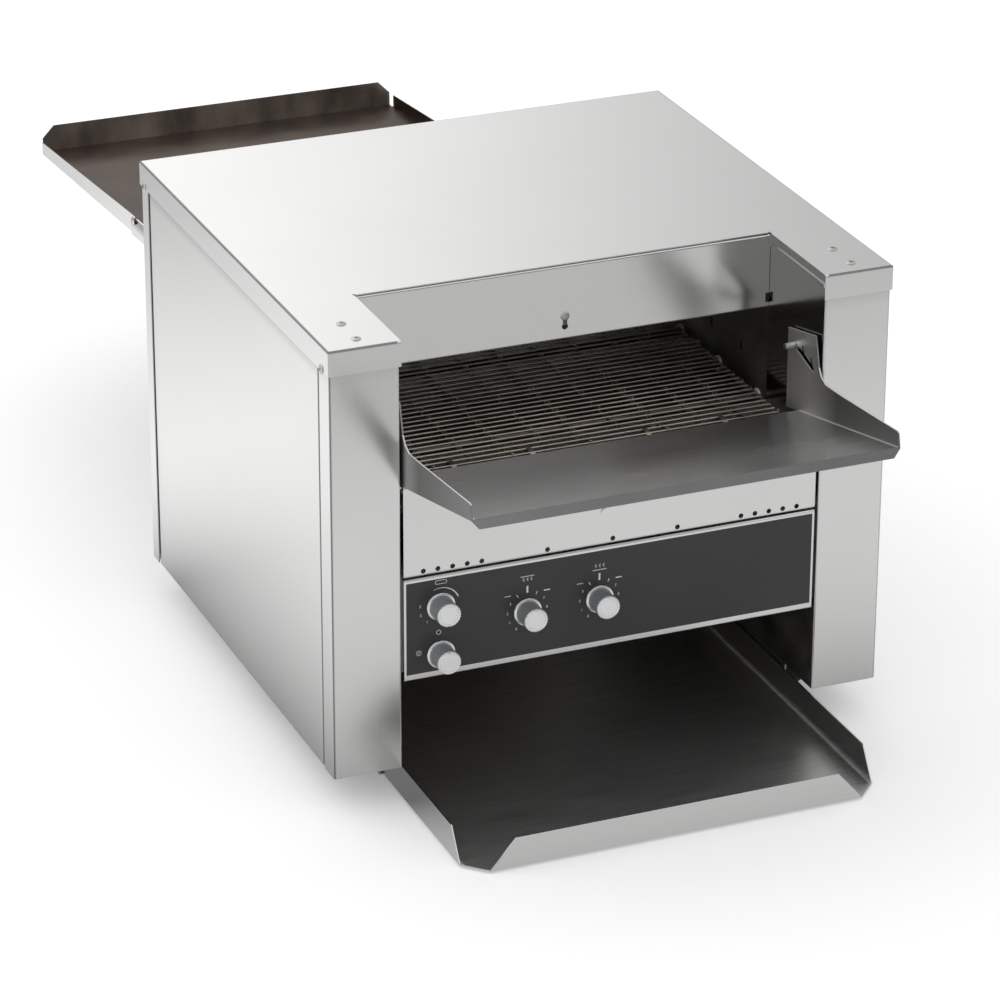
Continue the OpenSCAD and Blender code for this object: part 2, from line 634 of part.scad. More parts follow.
// ---------------------------------------------------------------- conveyor
// one wire of the belt and the hooks that wrap round the next wire
module link_hook() {
  inner = wire_d / 2 + link_gap;
  translate([0, 0, -link_w / 2]) linear_extrude(link_w) {
    difference() {
      translate([belt_pitch, 0]) circle(link_reach, $fn = 24);
      translate([belt_pitch, 0]) circle(inner, $fn = 24);
      translate([belt_pitch - 2 * link_reach, link_wire - link_reach]) square(2 * link_reach);
    }
    translate([-wire_d / 2, -link_reach]) square([belt_pitch + wire_d / 2, link_wire]);
    translate([-wire_d / 2, -link_reach]) square([wire_d * 0.8, link_reach]);
  }
}
module strand(i) {
  translate([0, 0, -belt_x]) cylinder(d = wire_d, h = 2 * belt_x, $fn = 24);
  lines = floor((belt_x - 8) / (2 * link_spacing) - (i % 2) / 2);
  shift = (i % 2) * link_spacing;
  for (k = [-lines - (i % 2) : lines]) translate([0, 0, 2 * k * link_spacing + shift]) link_hook();
  edge = belt_x - 1.2 - (i % 2) * (link_w + link_gap);
  for (s = [-1, 1]) translate([0, 0, s * edge]) link_hook();
}
belt_points = loop_points(belt_pitch, sprocket_teeth, belt_spans);
module conveyor_belt() color(DARK) place() translate([0, idler_y, shaft_z])
  for (i = [0 : len(belt_points) - 1]) {
    a = belt_points[i];
    d = belt_points[(i + 1) % len(belt_points)] - a;
    translate([0, a[0], a[1]]) rotate([90, 0, 90]) rotate(atan2(d[1], d[0])) strand(i);
  }

module belt_supports() color(STEEL) place() {
  top = belt_z - link_reach - fit;
  z0 = shaft_z - 11;
  for (k = [-2 : 2]) box([k * 80 - 1.5, idler_y + 26, top - 9], [k * 80 + 1.5, drive_y - 26, top]);
  for (y = [idler_y + 45, lower_rods[1] + 42, drive_y - 48])
    box([fit - in_x, y, z0], [in_x - fit, y + 6, top - 8]);
}

module belt_wheels() for (x = sprocket_x) difference() {
  union() {
    along_x(x - sprocket_w / 2, x + sprocket_w / 2)
      pocket_wheel(sprocket_teeth, sprocket_r, wire_d / 2 + fit, 1.2);
    rod_x(x - 8, x + 8, 0, 0, shaft_d / 2 + 3.5);
  }
  rod_x(x - 9, x + 9, 0, 0, shaft_d / 2 + 0.04);
}
module drive_sprockets() color("gray") place() translate([0, drive_y, shaft_z]) belt_wheels();
module idler_sprockets() color("gray") place() translate([0, idler_y, shaft_z]) belt_wheels();
module drive_shaft() color(STEEL) place() rod_x(-wall_out - 12, spindle_end, drive_y, shaft_z, shaft_d / 2);
module idler_shaft() color(STEEL) place() rod_x(-wall_out - 12, wall_out + 12, idler_y, shaft_z, shaft_d / 2);
module shaft_bearings() color("goldenrod") place() both() for (y = [idler_y, drive_y]) difference() {
  union() {
    rod_x(in_x - 1.5, wall_out + hair + 3, y, shaft_z, bush_r);
    rod_x(wall_out + hair, wall_out + hair + 3, y, shaft_z, bush_flange);
  }
  rod_x(in_x - 3, wall_out + 5, y, shaft_z, shaft_d / 2 + run);
}

module gearmotor() color("slategray") place() difference() {
  union() {
    box([wall_out + hair, drive_y - 30, motor_z - gearbox_h / 2],
        [wall_out + hair + gearbox_w, drive_y + 30, motor_z + gearbox_h / 2]);
    translate([wall_out + hair + motor_can_r + 1, drive_y, 30])
      cylinder(r = motor_can_r, h = motor_z - gearbox_h / 2 - 29, $fn = 64);
    rod_x(wall_out + hair + gearbox_w - 1, wall_out + hair + gearbox_w + 2, drive_y, motor_z, 11);
  }
  rod_x(wall_out + 14, chain_x, drive_y, motor_z, motor_shaft_r + run);
}
module chain_wheel(bore_r) difference() {
  union() {
    along_x(chain_x - 1.2, chain_x + 1.2) rotate(90) pocket_wheel(chain_teeth, chain_r, roller_r + 0.2, 1.3);
    rod_x(chain_x, chain_x + 5, 0, 0, 9);
  }
  rod_x(chain_x - 3, chain_x + 7, 0, 0, bore_r);
}
module motor_sprocket() color(STEEL) place() translate([0, drive_y, motor_z]) {
  chain_wheel(motor_shaft_r - 0.5);
  rod_x(wall_out + 15, spindle_end, 0, 0, motor_shaft_r);
}
module chain_sprocket() color(STEEL) place() translate([0, drive_y, shaft_z]) chain_wheel(shaft_d / 2 + 0.04);

// roller chain: links between plates, turn about between a pair of rollers and a pair of pins
module link_plates(inside, thick) for (s = [-1, 1]) translate([0, 0, s * (inside + thick / 2) - thick / 2])
  linear_extrude(thick) {
    circle(2.5, $fn = 24);
    translate([chain_pitch, 0]) circle(2.5, $fn = 24);
    translate([0, -1.9]) square([chain_pitch, 3.8]);
  }
module roller_link() difference() {
  union() {
    link_plates(1.45, 0.8);
    for (u = [0, chain_pitch]) translate([u, 0, -1.5]) cylinder(r = roller_r, h = 3, $fn = 24);
  }
  for (u = [0, chain_pitch]) translate([u, 0, -4]) cylinder(r = 0.95, h = 8, $fn = 24);
}
module pin_link() {
  link_plates(2.4, 0.8);
  for (u = [0, chain_pitch]) translate([u, 0, -3.6]) cylinder(r = 0.85, h = 7.2, $fn = 24);
}
chain_points = loop_points(chain_pitch, chain_teeth, chain_spans);
module drive_chain() color("dimgray") place() translate([chain_x, drive_y, motor_z])
  for (i = [0 : len(chain_points) - 1]) {
    a = chain_points[i];
    d = chain_points[(i + 1) % len(chain_points)] - a;
    rotate([0, -90, 0]) mirror([0, 1, 0]) translate(a) rotate(atan2(d[1], d[0]))
      if (i % 2 == 0) roller_link(); else pin_link();
  }

// ---------------------------------------------------------------- heat
module element(y, z) rod_x(-wall_out - 14, wall_out + 14, y, z, rod_r, 32);
module upper_elements() color("dimgray") place() for (y = upper_rods) element(y, upper_rod_z);
module lower_elements() color("dimgray") place() for (y = lower_rods) element(y, shaft_z);
module insulator(y, z) difference() {
  union() {
    rod_x(in_x - 2, wall_out + hair + 4, y, z, insulator_r);
    rod_x(wall_out + hair, wall_out + hair + 4, y, z, insulator_r + 3);
  }
  rod_x(in_x - 3, wall_out + 6, y, z, rod_r + run);
}
module element_insulators() color("white") place() both() {
  for (y = upper_rods) insulator(y, upper_rod_z);
  for (y = lower_rods) insulator(y, shaft_z);
}
module upper_reflector() color(STEEL) place() along_x(fit - in_x, in_x - fit)
  folded([[recess_d + sheet + hair, header_z + 14], [recess_d + sheet + hair, reflector_z],
    [back_y - sheet - fit, reflector_z], [back_y - sheet - fit, door_top + 4]], -sheet);
module lower_reflector() color(STEEL) place() {
  z = shaft_z - 11 - fit;
  box([fit - in_x, idler_y + 34, z - 1], [in_x - fit, drive_y - 34, z]);
}

// ---------------------------------------------------------------- services
module fan_frame() color(DARK) place() translate([-fan_x, fan_y, sheet + hair]) {
  difference() {
    translate([-fan_w / 2, -fan_w / 2, 0]) cube([fan_w, fan_w, fan_h]);
    translate([0, 0, -1]) cylinder(r = fan_r, h = fan_h + 2, $fn = 64);
  }
  cylinder(r = 11, h = 4, $fn = 40);
  cylinder(r = 2, h = 16, $fn = 24);
  for (a = [45 : 90 : 315]) rotate(a) translate([0, -1.5, 0]) cube([fan_r + 1, 3, 3]);
}
module fan_rotor() color("black") place() translate([-fan_x, fan_y, sheet + hair + 4.4]) difference() {
  union() {
    cylinder(r = 12, h = 17, $fn = 40);
    for (a = [0 : 60 : 300]) rotate(a) translate([10, 0, 8.5]) rotate([38, 0, 0]) translate([0, -9, -0.7])
      cube([fan_r - 11.5, 18, 1.4]);
  }
  translate([0, 0, -1]) cylinder(r = 2 + run, h = 14, $fn = 24);
}
module terminal_block() color("ivory") place() translate([-compartment_x - 14, body_d - 100, sheet + hair])
  difference() {
    cube([28, 60, 22]);
    for (k = [0 : 4]) translate([4, 4 + k * 11.2, 12]) cube([20, 7.2, 12]);
  }
module cord_gland() color("black") place() difference() {
  union() {
    rod_y(back_y - 16, back_y + 12, -compartment_x, 60, 8);
    rod_y(back_y + hair, back_y + 7, -compartment_x, 60, 12, 6);
    rod_y(back_y - 8, back_y - sheet - hair, -compartment_x, 60, 12, 6);
  }
  rod_y(back_y - 18, back_y + 14, -compartment_x, 60, 4.8);
}

base_pans();
feet();
corner_posts();
left_side_panel();
right_side_panel();
top_cover();
cover_screws();
left_cheek();
right_cheek();
left_inner_wall();
right_inner_wall();
header_plate();
header_screw();
front_fascia();
control_panel();
panel_overlay();
control_housing();
speed_control();
power_switch();
upper_heat_control();
lower_heat_control();
speed_spindle();
power_spindle();
upper_heat_spindle();
lower_heat_spindle();
speed_knob();
power_knob();
upper_heat_knob();
lower_heat_knob();
loading_shelf();
shelf_studs();
discharge_tray();
tray_runners();
return_chute();
rear_panel();
rear_tray();
rear_tray_arms();
crumb_tray();
crumb_runners();
conveyor_belt();
belt_supports();
drive_shaft();
drive_sprockets();
idler_shaft();
idler_sprockets();
shaft_bearings();
gearmotor();
motor_sprocket();
chain_sprocket();
drive_chain();
upper_elements();
lower_elements();
element_insulators();
upper_reflector();
lower_reflector();
fan_frame();
fan_rotor();
terminal_block();
cord_gland();
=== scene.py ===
"""Looks of a conveyor toaster: its metals, plastics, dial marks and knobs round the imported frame, and a studio."""

import math

import bmesh
import bpy
from bpy.props import FloatProperty, FloatVectorProperty, IntProperty, PointerProperty
from mathutils import Matrix, Vector


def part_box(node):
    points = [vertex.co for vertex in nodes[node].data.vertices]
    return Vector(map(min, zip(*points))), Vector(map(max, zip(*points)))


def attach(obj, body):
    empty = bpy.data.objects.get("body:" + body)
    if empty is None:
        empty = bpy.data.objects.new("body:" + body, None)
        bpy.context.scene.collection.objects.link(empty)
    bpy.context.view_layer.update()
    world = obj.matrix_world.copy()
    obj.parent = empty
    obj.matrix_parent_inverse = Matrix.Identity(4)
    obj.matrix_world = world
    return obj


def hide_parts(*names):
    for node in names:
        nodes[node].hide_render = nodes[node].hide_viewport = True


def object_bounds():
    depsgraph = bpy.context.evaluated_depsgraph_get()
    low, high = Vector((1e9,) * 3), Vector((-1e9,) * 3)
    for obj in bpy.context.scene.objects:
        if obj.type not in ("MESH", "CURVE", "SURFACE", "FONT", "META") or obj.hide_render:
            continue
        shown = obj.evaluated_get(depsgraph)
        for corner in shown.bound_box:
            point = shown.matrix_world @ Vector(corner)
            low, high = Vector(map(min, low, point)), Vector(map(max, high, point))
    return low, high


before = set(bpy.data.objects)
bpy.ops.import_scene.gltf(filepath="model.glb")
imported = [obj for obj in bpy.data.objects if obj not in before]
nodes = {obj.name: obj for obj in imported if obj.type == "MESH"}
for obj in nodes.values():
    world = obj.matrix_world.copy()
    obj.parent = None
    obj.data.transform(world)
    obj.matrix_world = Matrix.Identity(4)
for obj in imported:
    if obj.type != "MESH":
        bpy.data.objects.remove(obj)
cad_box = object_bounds()

bl_info = {
    "name": "Conveyor toaster finish",
    "version": (1, 0, 0),
    "blender": (4, 5, 0),
    "location": "3D View > Sidebar > Toaster",
    "description": "Finishes the packed conveyor toaster and sets up its studio",
    "category": "Object",
}

MM = 0.001
ALONG_X, ALONG_Y, ALONG_Z = 0, 1, 2
TO_FRONT = Matrix(((1, 0, 0, 0), (0, 0, -1, 0), (0, 1, 0, 0), (0, 0, 0, 1)))    # turns z to face the user

# Where the sheets lie, from the frame
COVER_LOW, COVER_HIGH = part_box("top_cover")
SHELF_LOW, SHELF_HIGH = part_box("loading_shelf")
TRAY_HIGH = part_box("discharge_tray")[1]
REAR_TRAY_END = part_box("rear_tray")[1].y
RECESS_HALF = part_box("right_inner_wall")[1].x + 0.2 * MM    # half the recess's width, a gap outside its inner wall


# ---------------------------------------------------------------- settings


def rgba(hex_code):
    """An sRGB hex colour as linear red, green, blue and alpha."""
    parts = [int(hex_code[i:i + 2], 16) / 255 for i in (0, 2, 4)]
    return (*[c / 12.92 if c <= 0.04045 else ((c + 0.055) / 1.055) ** 2.4 for c in parts], 1.0)


def size(name, description, default):
    """A length that a user may change, in metres."""
    return FloatProperty(name=name, description=description, default=default, min=0, unit="LENGTH", precision=5)


def share(name, description, default):
    """A value from 0 to 1 that a user may change."""
    return FloatProperty(name=name, description=description, default=default, min=0, max=1, subtype="FACTOR")


def tint(name, description, hex_code):
    """A colour that a user may change."""
    return FloatVectorProperty(name=name, description=description, default=rgba(hex_code), size=4,
                               min=0, max=1, subtype="COLOR")


class SheetFinish(bpy.types.PropertyGroup):
    """Satin stainless sheet of the housing."""

    color: tint("Steel", "Colour of the bare stainless steel", "d4d4d3")
    roughness: share("Roughness", "How far the satin grain blurs what the sheet reflects", 0.24)
    header: share("Header roughness", "Roughness of the polished header plate", 0.19)
    shelf: share("Shelf roughness", "Roughness of the loading shelf's floor", 0.25)
    grain_width: size("Grain width", "Width of one grinding line, drawn as coarse as it needs to show", 1.0 * MM)
    grain_length: size("Grain length", "Length of one grinding line", 110 * MM)
    grain_height: size("Grain height", "How far the grinding lines stand out", 0.0015 * MM)
    smudge: size("Smudge size", "Size of the faint cloudy patches left by wiping", 140 * MM)
    # how much of its colour the sheet keeps on a bend, under a painted shade
    bend: share("Bend shade", "How much of its colour the sheet keeps on a bend", 0.3)
    # how much of its colour the sheet keeps where it faces the recess, under a painted shade
    recess: share("Recess shade", "How much of its colour the sheet keeps where it faces the recess", 0.36)


class InnerFinish(bpy.types.PropertyGroup):
    """Surfaces darkened by heat, and the wire belt."""

    soot: tint("Heat stain", "Colour of sheet that years of toasting have darkened", "75726e")
    wire: tint("Belt wire", "Colour of the belt's wire under its brown oxide", "9a938b")
    tray: tint("Tray stain", "Colour of the rear tray's browned inside", "4a3e36")
    tray_end: tint("Tray end", "Colour of the end wall that catches the toast", "9c9188")
    patch: size("Patch size", "Size of the darker and lighter patches of the stain", 45 * MM)


class FittingFinish(bpy.types.PropertyGroup):
    """Small parts of metal, plastic and ceramic."""

    zinc: tint("Zinc plate", "Colour of the plated runners and supports", "b9bab8")
    shaft: tint("Shaft steel", "Colour of the turned shafts", "c4c3c0")
    chain: tint("Chain steel", "Colour of the oiled chain and its sprockets", "8a8986")
    bronze: tint("Bronze", "Colour of the sintered bushes", "b08a52")
    sheath: tint("Rod sheath", "Colour of the heating rods", "6a625c")
    ceramic: tint("Ceramic", "Colour of the insulators", "e4dfd2")
    paint: tint("Motor paint", "Colour of the gearmotor's casing", "6d7278")
    screw: tint("Screw steel", "Colour of the screws and studs", "b6b6b4")
    nylon: tint("Nylon", "Colour of the controls, the fan and the gland", "1b1b1c")
    brass: tint("Brass", "Colour of the knobs' spindles", "d9b569")
    rubber: tint("Rubber", "Colour of the feet", "161616")


class PanelFinish(bpy.types.PropertyGroup):
    """Dark overlay of the control panel and the marks printed on it."""

    film: tint("Overlay", "Colour of the printed film", "2f2e2f")
    ink: tint("Ink", "Colour of the dial marks", "d4d4d2")
    line: size("Line width", "Width of a printed line", 0.5 * MM)
    tick: size("Tick length", "How far a tick reaches past the dial's circle", 2.4 * MM)
    number: size("Number height", "Height of a printed number", 2.8 * MM)
    dial: size("Dial radius", "Radius on which a heat dial's marks stand", 19.5 * MM)
    print_height: size("Print height", "How far the ink stands proud of the film", 0.08 * MM)


class KnobFinish(bpy.types.PropertyGroup):
    """Moulded control knobs with a metal face."""

    grip: tint("Grip", "Colour of the moulded grip", "82878a")
    ring: tint("Ring", "Colour of the bright rings at the knob's foot and face", "dcdcda")
    face: tint("Face", "Colour of the aluminium face", "ecedec")
    flutes: IntProperty(name="Flutes", description="Number of flutes round the face's edge", default=24, min=0)
    flute_depth: size("Flute depth", "Depth of one flute", 0.8 * MM)
    notch_depth: size("Notch depth", "Depth of the notch that shows the setting", 1.7 * MM)
    groove: size("Turning line", "Spacing of the turning lines, drawn as coarse as it needs to show", 0.9 * MM)


class StudioSetup(bpy.types.PropertyGroup):
    """Floor, light and camera."""

    floor: tint("Floor", "Colour of the floor", "f3f3f3")
    floor_size: size("Floor size", "Side of the square floor", 16.0)
    floor_lift: share("Floor lift", "Light that the floor adds of its own to what the camera sees", 0.17)
    sky: share("Sky", "Strength of the light from all round", 0.97)
    key_power: FloatProperty(name="Key power", description="Power of the main lamp", default=21, unit="POWER")
    key_size: size("Key size", "Side of the main lamp", 3.0)
    lens: FloatProperty(name="Lens", description="Focal length on a 36 mm sensor", default=162.0, unit="CAMERA")


SETTINGS = {
    "toaster_sheet": SheetFinish,
    "toaster_inner": InnerFinish,
    "toaster_fitting": FittingFinish,
    "toaster_panel": PanelFinish,
    "toaster_knob": KnobFinish,
    "toaster_studio": StudioSetup,
}


# ---------------------------------------------------------------- shader nodes


def add_node(tree, kind, settings=(), inputs=()):
    """Adds a shader node, sets it, and fills its inputs: a socket is linked, anything else is its value."""
    node = tree.nodes.new("ShaderNode" + kind)
    for name, value in dict(settings).items():
        setattr(node, name, value)
    for name, value in dict(inputs).items():
        if isinstance(value, bpy.types.NodeSocket):
            tree.links.new(value, node.inputs[name])
        else:
            node.inputs[name].default_value = value
    return node


def new_material(name, metallic=0.0):
    """An empty material, its tree and its surface node."""
    material = bpy.data.materials.new(name)
    material.use_nodes = True
    tree = material.node_tree
    tree.nodes.clear()
    surface = add_node(tree, "BsdfPrincipled", inputs={"Metallic": metallic})
    add_node(tree, "OutputMaterial", inputs={"Surface": surface.outputs[0]})
    return material, tree, surface


def noise(tree, cell, detail=3.0, seed=0.0):
    """Noise fixed to the object, whose cells measure cell: three lengths in metres, or one. Returns its value."""
    lengths = [cell] * 3 if isinstance(cell, float) else cell
    scaled = add_node(tree, "Mapping", {"vector_type": "POINT"}, {
        "Vector": add_node(tree, "TexCoord").outputs["Object"],
        "Scale": [1 / length for length in lengths],
        "Location": (seed, seed, seed),
    })
    pattern = add_node(tree, "TexNoise", inputs={
        "Vector": scaled.outputs[0], "Scale": 1.0, "Detail": detail, "Roughness": 0.55})
    return pattern.outputs["Fac"]


def varied(tree, pattern, low, high, start=0.3, end=0.7):
    """A number or a colour that runs from low to high as a pattern rises from start to end."""
    painted = isinstance(high, tuple) or getattr(high, "type", "") == "RGBA"
    first, last = (0.0, 1.0) if painted else (low, high)
    rise = add_node(tree, "MapRange", inputs={
        "Value": pattern, "From Min": start, "From Max": end, "To Min": first, "To Max": last}).outputs[0]
    return add_node(tree, "Mix", {"data_type": "RGBA"}, {0: rise, 6: low, 7: high}).outputs[2] if painted else rise


def rising(tree, pattern, start, end, top=1.0):
    """A mask: 0 where a pattern is below start, and top where it is above end."""
    return varied(tree, pattern, 0.0, top, start, end)


def falling(tree, pattern, start, end):
    """A mask: 1 where a pattern is below start, and 0 where it is above end."""
    return varied(tree, pattern, 1.0, 0.0, start, end)


def combined(tree, operation, *values):
    """Several numbers taken together, two at a time."""
    total = values[0]
    for value in values[1:]:
        total = add_node(tree, "Math", {"operation": operation}, {0: total, 1: value}).outputs[0]
    return total


def unsigned(tree, value):
    """A number without its sign."""
    return add_node(tree, "Math", {"operation": "ABSOLUTE"}, {0: value}).outputs[0]


def place(tree):
    """Where a point lies in the toaster's own frame: x, y and z in metres."""
    return add_node(tree, "SeparateXYZ", inputs={0: add_node(tree, "TexCoord").outputs["Object"]}).outputs


def facing(tree):
    """Which way the sheet faces: the x, y and z of a direction of length 1."""
    return add_node(tree, "SeparateXYZ", inputs={0: add_node(tree, "NewGeometry").outputs["Normal"]}).outputs


def shaded(color, amount=1.0):
    """A colour made darker or lighter, as plain numbers."""
    return (*[min(1.0, c * amount) for c in color[:3]], 1.0)


def feed(tree, surface, **patterns):
    """Links patterns to a surface's sockets: color to Base Color, and roughness to Roughness."""
    for name, pattern in patterns.items():
        tree.links.new(pattern, surface.inputs[{"color": "Base Color", "roughness": "Roughness"}[name]])


def lay_over(tree, surface, mask, color):
    """Lays a colour over what the surface has, where a mask is 1."""
    under = surface.inputs["Base Color"].links[0].from_socket
    feed(tree, surface, color=varied(tree, mask, under, color, 0.0, 1.0))


def roughen(tree, surface, *amounts):
    """Adds the product of some amounts to the surface's roughness."""
    under = surface.inputs["Roughness"].links[0].from_socket
    feed(tree, surface, roughness=combined(tree, "ADD", under, combined(tree, "MULTIPLY", *amounts)))


def bumped(tree, surface, pattern, height, strength=1.0):
    """Raises a surface by a pattern, height metres at the most."""
    bump = add_node(tree, "Bump", inputs={"Height": pattern, "Distance": height, "Strength": strength})
    tree.links.new(bump.outputs[0], surface.inputs["Normal"])


# ---------------------------------------------------------------- metals

SHARP = 0.3 * MM    # width of the change from one finish to the next, at a sharp edge
BENT, FLAT = 0.93, 0.995    # largest part of the direction that a sheet faces: on a bend, and on a flat
ROLL_START, ROLL_FULL = 2.2 * MM, 1.4 * MM    # how far inside the cover's edge its rolled corner starts, and is full
FLANGE_SHADE = 14 * MM    # how far down the painted shade under the cover's flange reaches
INSIDE_BEND = 4.2 * MM    # from the side of a tray or of the shelf to where the bend at its foot begins


def grain_along(tree, look, axis):
    """The pattern of the grinding lines, which run along one axis."""
    cell = [look.grain_length if i == axis else look.grain_width for i in range(3)]
    return noise(tree, cell, 4.0)


def bend_mask(tree):
    """Painted shade on the bends: 1 on the bends outside the recess, and nearly 1 along the cover's rolled edge."""
    across, _, height = place(tree)
    off_centre = unsigned(tree, across)
    flatness = combined(tree, "MAXIMUM", *[unsigned(tree, part) for part in facing(tree)])
    bent = combined(tree, "MULTIPLY", falling(tree, flatness, BENT, FLAT),
                    rising(tree, off_centre, RECESS_HALF + 0.5 * MM, RECESS_HALF + 1.5 * MM))
    rolled = combined(tree, "MULTIPLY",
                      rising(tree, off_centre, COVER_HIGH.x - ROLL_START, COVER_HIGH.x - ROLL_FULL),
                      rising(tree, height, COVER_HIGH.z - ROLL_START, COVER_HIGH.z - ROLL_FULL, 0.8))
    return combined(tree, "MAXIMUM", bent, rolled)


def recess_mask(tree):
    """1 on the faces that the sheets turn to the recess, from the shelf's lowest edge up."""
    across, _, height = place(tree)
    return combined(tree, "MULTIPLY", falling(tree, unsigned(tree, across), RECESS_HALF, RECESS_HALF + SHARP),
                    rising(tree, unsigned(tree, facing(tree)[0]), 0.8, 0.95),
                    rising(tree, height, SHELF_LOW.z - 10 * MM, SHELF_LOW.z))


def fold_mask(tree, side, top):
    """Rises to top where a floor starts to bend up into its side, which stands side metres off the middle."""
    start = side - INSIDE_BEND
    return rising(tree, unsigned(tree, place(tree)[0]), start, start + SHARP, top)


def ground_stainless(look, axis, name, tone, roughness, under_cover=1.0, polished=False):
    """Stainless sheet, belt-ground along one axis: soft drawn-out reflections, fine faint lines and wiping marks.

    A painted shade darkens a rolled bend against the flats beside it, and the strip under the cover's flange.
    Polishing takes away the relief of the lines.
    """
    material, tree, surface = new_material(name, metallic=1.0)
    grain = grain_along(tree, look, axis)
    wiped = noise(tree, look.smudge, 3.0, 5.0)
    lined = varied(tree, grain, shaded(look.color, 0.985 * tone), shaded(look.color, 1.01 * tone))
    # painted shade under the cover's flange
    painted_flange_shade_mask = rising(tree, place(tree)[2], COVER_LOW.z - FLANGE_SHADE, COVER_LOW.z)
    feed(tree, surface, color=lined, roughness=varied(tree, grain, roughness - 0.015, roughness + 0.015))
    lay_over(tree, surface, painted_flange_shade_mask, shaded(look.color, under_cover * tone))
    # painted shade on the bends
    lay_over(tree, surface, bend_mask(tree), shaded(look.color, look.bend * tone))
    roughen(tree, surface, varied(tree, wiped, -0.02, 0.02))
    if not polished:
        bumped(tree, surface, grain, look.grain_height)
    return material, tree, surface


def satin_stainless(look, axis, name, tone=1.0, roughness=None, **more):
    """Satin stainless sheet of the housing. Faces turned to the recess are glossier, and darker with painted shade.
    """
    material, tree, surface = ground_stainless(look, axis, name, tone, roughness or look.roughness, **more)
    inside = recess_mask(tree)
    # painted shade of the recess
    lay_over(tree, surface, inside, shaded(look.color, look.recess * tone))
    roughen(tree, surface, inside, -0.08)
    return material


def shelf_stainless(look, name):
    """Satin stainless of the loading shelf: a lip darkened with painted shade, and rougher dull ears with painted
    shade at the front and painted light at the back. A rougher line runs along each fold, where bending has
    stretched the surface."""
    tone, length = 1.05, SHELF_HIGH.y - SHELF_LOW.y
    material, tree, surface = ground_stainless(look, ALONG_X, name, tone, look.shelf)
    # painted shade: the lip darker than the floor
    lip = falling(tree, facing(tree)[1], -0.9, -0.6)
    lay_over(tree, surface, lip, shaded(look.color, 0.6 * tone))
    ear = recess_mask(tree)
    # painted shade on the ears' front, turning to painted light at their back
    painted_ear_shade_and_light = varied(tree, place(tree)[1], shaded(look.color, 0.28 * tone), shaded(look.color, 1.1 * tone),
                       SHELF_LOW.y + 0.55 * length, SHELF_HIGH.y - 0.2 * length)
    lay_over(tree, surface, ear, painted_ear_shade_and_light)
    roughen(tree, surface, ear, 0.19)
    level = rising(tree, unsigned(tree, facing(tree)[2]), 0.7, 0.9)
    roughen(tree, surface, fold_mask(tree, SHELF_HIGH.x, 0.33), level)
    return material


def scuffed_stainless(look, name):
    """Stainless tray that toast slides over: satin sides and lip, a duller brushed floor, and rims darkened with
    painted shade. The brushing is 2.5 mm wide, as coarse as it needs to show."""
    material, tree, surface = new_material(name, metallic=1.0)
    grain = grain_along(tree, look, ALONG_X)
    scuff = noise(tree, [90 * MM, 2.5 * MM, 90 * MM], 4.0, 4.0)
    height, upward = place(tree)[2], rising(tree, facing(tree)[2], 0.85, 0.95)
    rim = combined(tree, "MULTIPLY", upward, rising(tree, height, TRAY_HIGH.z - 4 * MM, TRAY_HIGH.z - 2 * MM))
    floor = combined(tree, "MULTIPLY", upward, falling(tree, height, TRAY_HIGH.z - 12 * MM, TRAY_HIGH.z - 8 * MM))
    feed(tree, surface, color=varied(tree, grain, shaded(look.color, 0.9), shaded(look.color, 0.95)),
         roughness=varied(tree, grain, 0.23, 0.27))
    lay_over(tree, surface, floor, varied(tree, scuff, shaded(look.color, 0.84), shaded(look.color, 1.08)))
    # painted shade on the rims
    lay_over(tree, surface, rim, shaded(look.color, 0.5))
    roughen(tree, surface, floor, varied(tree, scuff, 0.1, 0.17))
    roughen(tree, surface, floor, fold_mask(tree, TRAY_HIGH.x, 0.3))
    bumped(tree, surface, scuff, 0.002 * MM)
    return material


def browned_stainless(look, inner, name):
    """Stainless tray with a baked brown film inside, a paler streaked end wall, and bare satin outer sides, which
    painted light makes brighter than the housing's steel.
    """
    material, tree, surface = new_material(name, metallic=1.0)
    x, y, _ = place(tree)
    across, along, _ = facing(tree)
    blotch = noise(tree, inner.patch, 5.0, 2.0)
    streak = noise(tree, [inner.patch, inner.patch, inner.patch * 2], 4.0, 6.0)
    end = combined(tree, "MULTIPLY", falling(tree, along, -0.9, -0.7),
                   rising(tree, y, REAR_TRAY_END - 20 * MM, REAR_TRAY_END - 15 * MM))
    outer = rising(tree, combined(tree, "MULTIPLY", across, x), 0.1, 0.15)
    feed(tree, surface, color=varied(tree, blotch, shaded(inner.tray, 0.55), shaded(inner.tray, 1.5)),
         roughness=varied(tree, blotch, 0.34, 0.46))
    lay_over(tree, surface, end, varied(tree, streak, shaded(inner.tray_end, 0.4), shaded(inner.tray_end, 1.2)))
    # painted light: the bare outer sides lighter than the housing's steel
    lay_over(tree, surface, outer,
             varied(tree, grain_along(tree, look, ALONG_Y), shaded(look.color, 1.42), shaded(look.color, 1.5)))
    roughen(tree, surface, outer, -0.14)
    return material


def heat_darkened(look, name, color, roughness):
    """Steel that heat and fat have browned: dark and blotched, with crumbs baked on and a low sheen."""
    material, tree, surface = new_material(name, metallic=1.0)
    blotch = noise(tree, [look.patch, look.patch, look.patch * 0.7], 5.0, 2.0)
    crumbs = rising(tree, noise(tree, 3 * MM, 2.0, 9.0), 0.62, 0.72)
    feed(tree, surface, color=varied(tree, blotch, shaded(color, 0.7), shaded(color, 1.25)),
         roughness=varied(tree, blotch, roughness - 0.08, roughness + 0.1))
    lay_over(tree, surface, crumbs, shaded(color, 0.45))
    return material


def plain_metal(name, color, roughness):
    """Plain turned, folded or plated metal, with the cloudy, slightly uneven surface of a working part."""
    material, tree, surface = new_material(name, metallic=1.0)
    cloud = noise(tree, 12 * MM, 4.0)
    feed(tree, surface, color=varied(tree, cloud, shaded(color, 0.9), shaded(color, 1.06)),
         roughness=varied(tree, cloud, roughness - 0.05, roughness + 0.06))
    return material


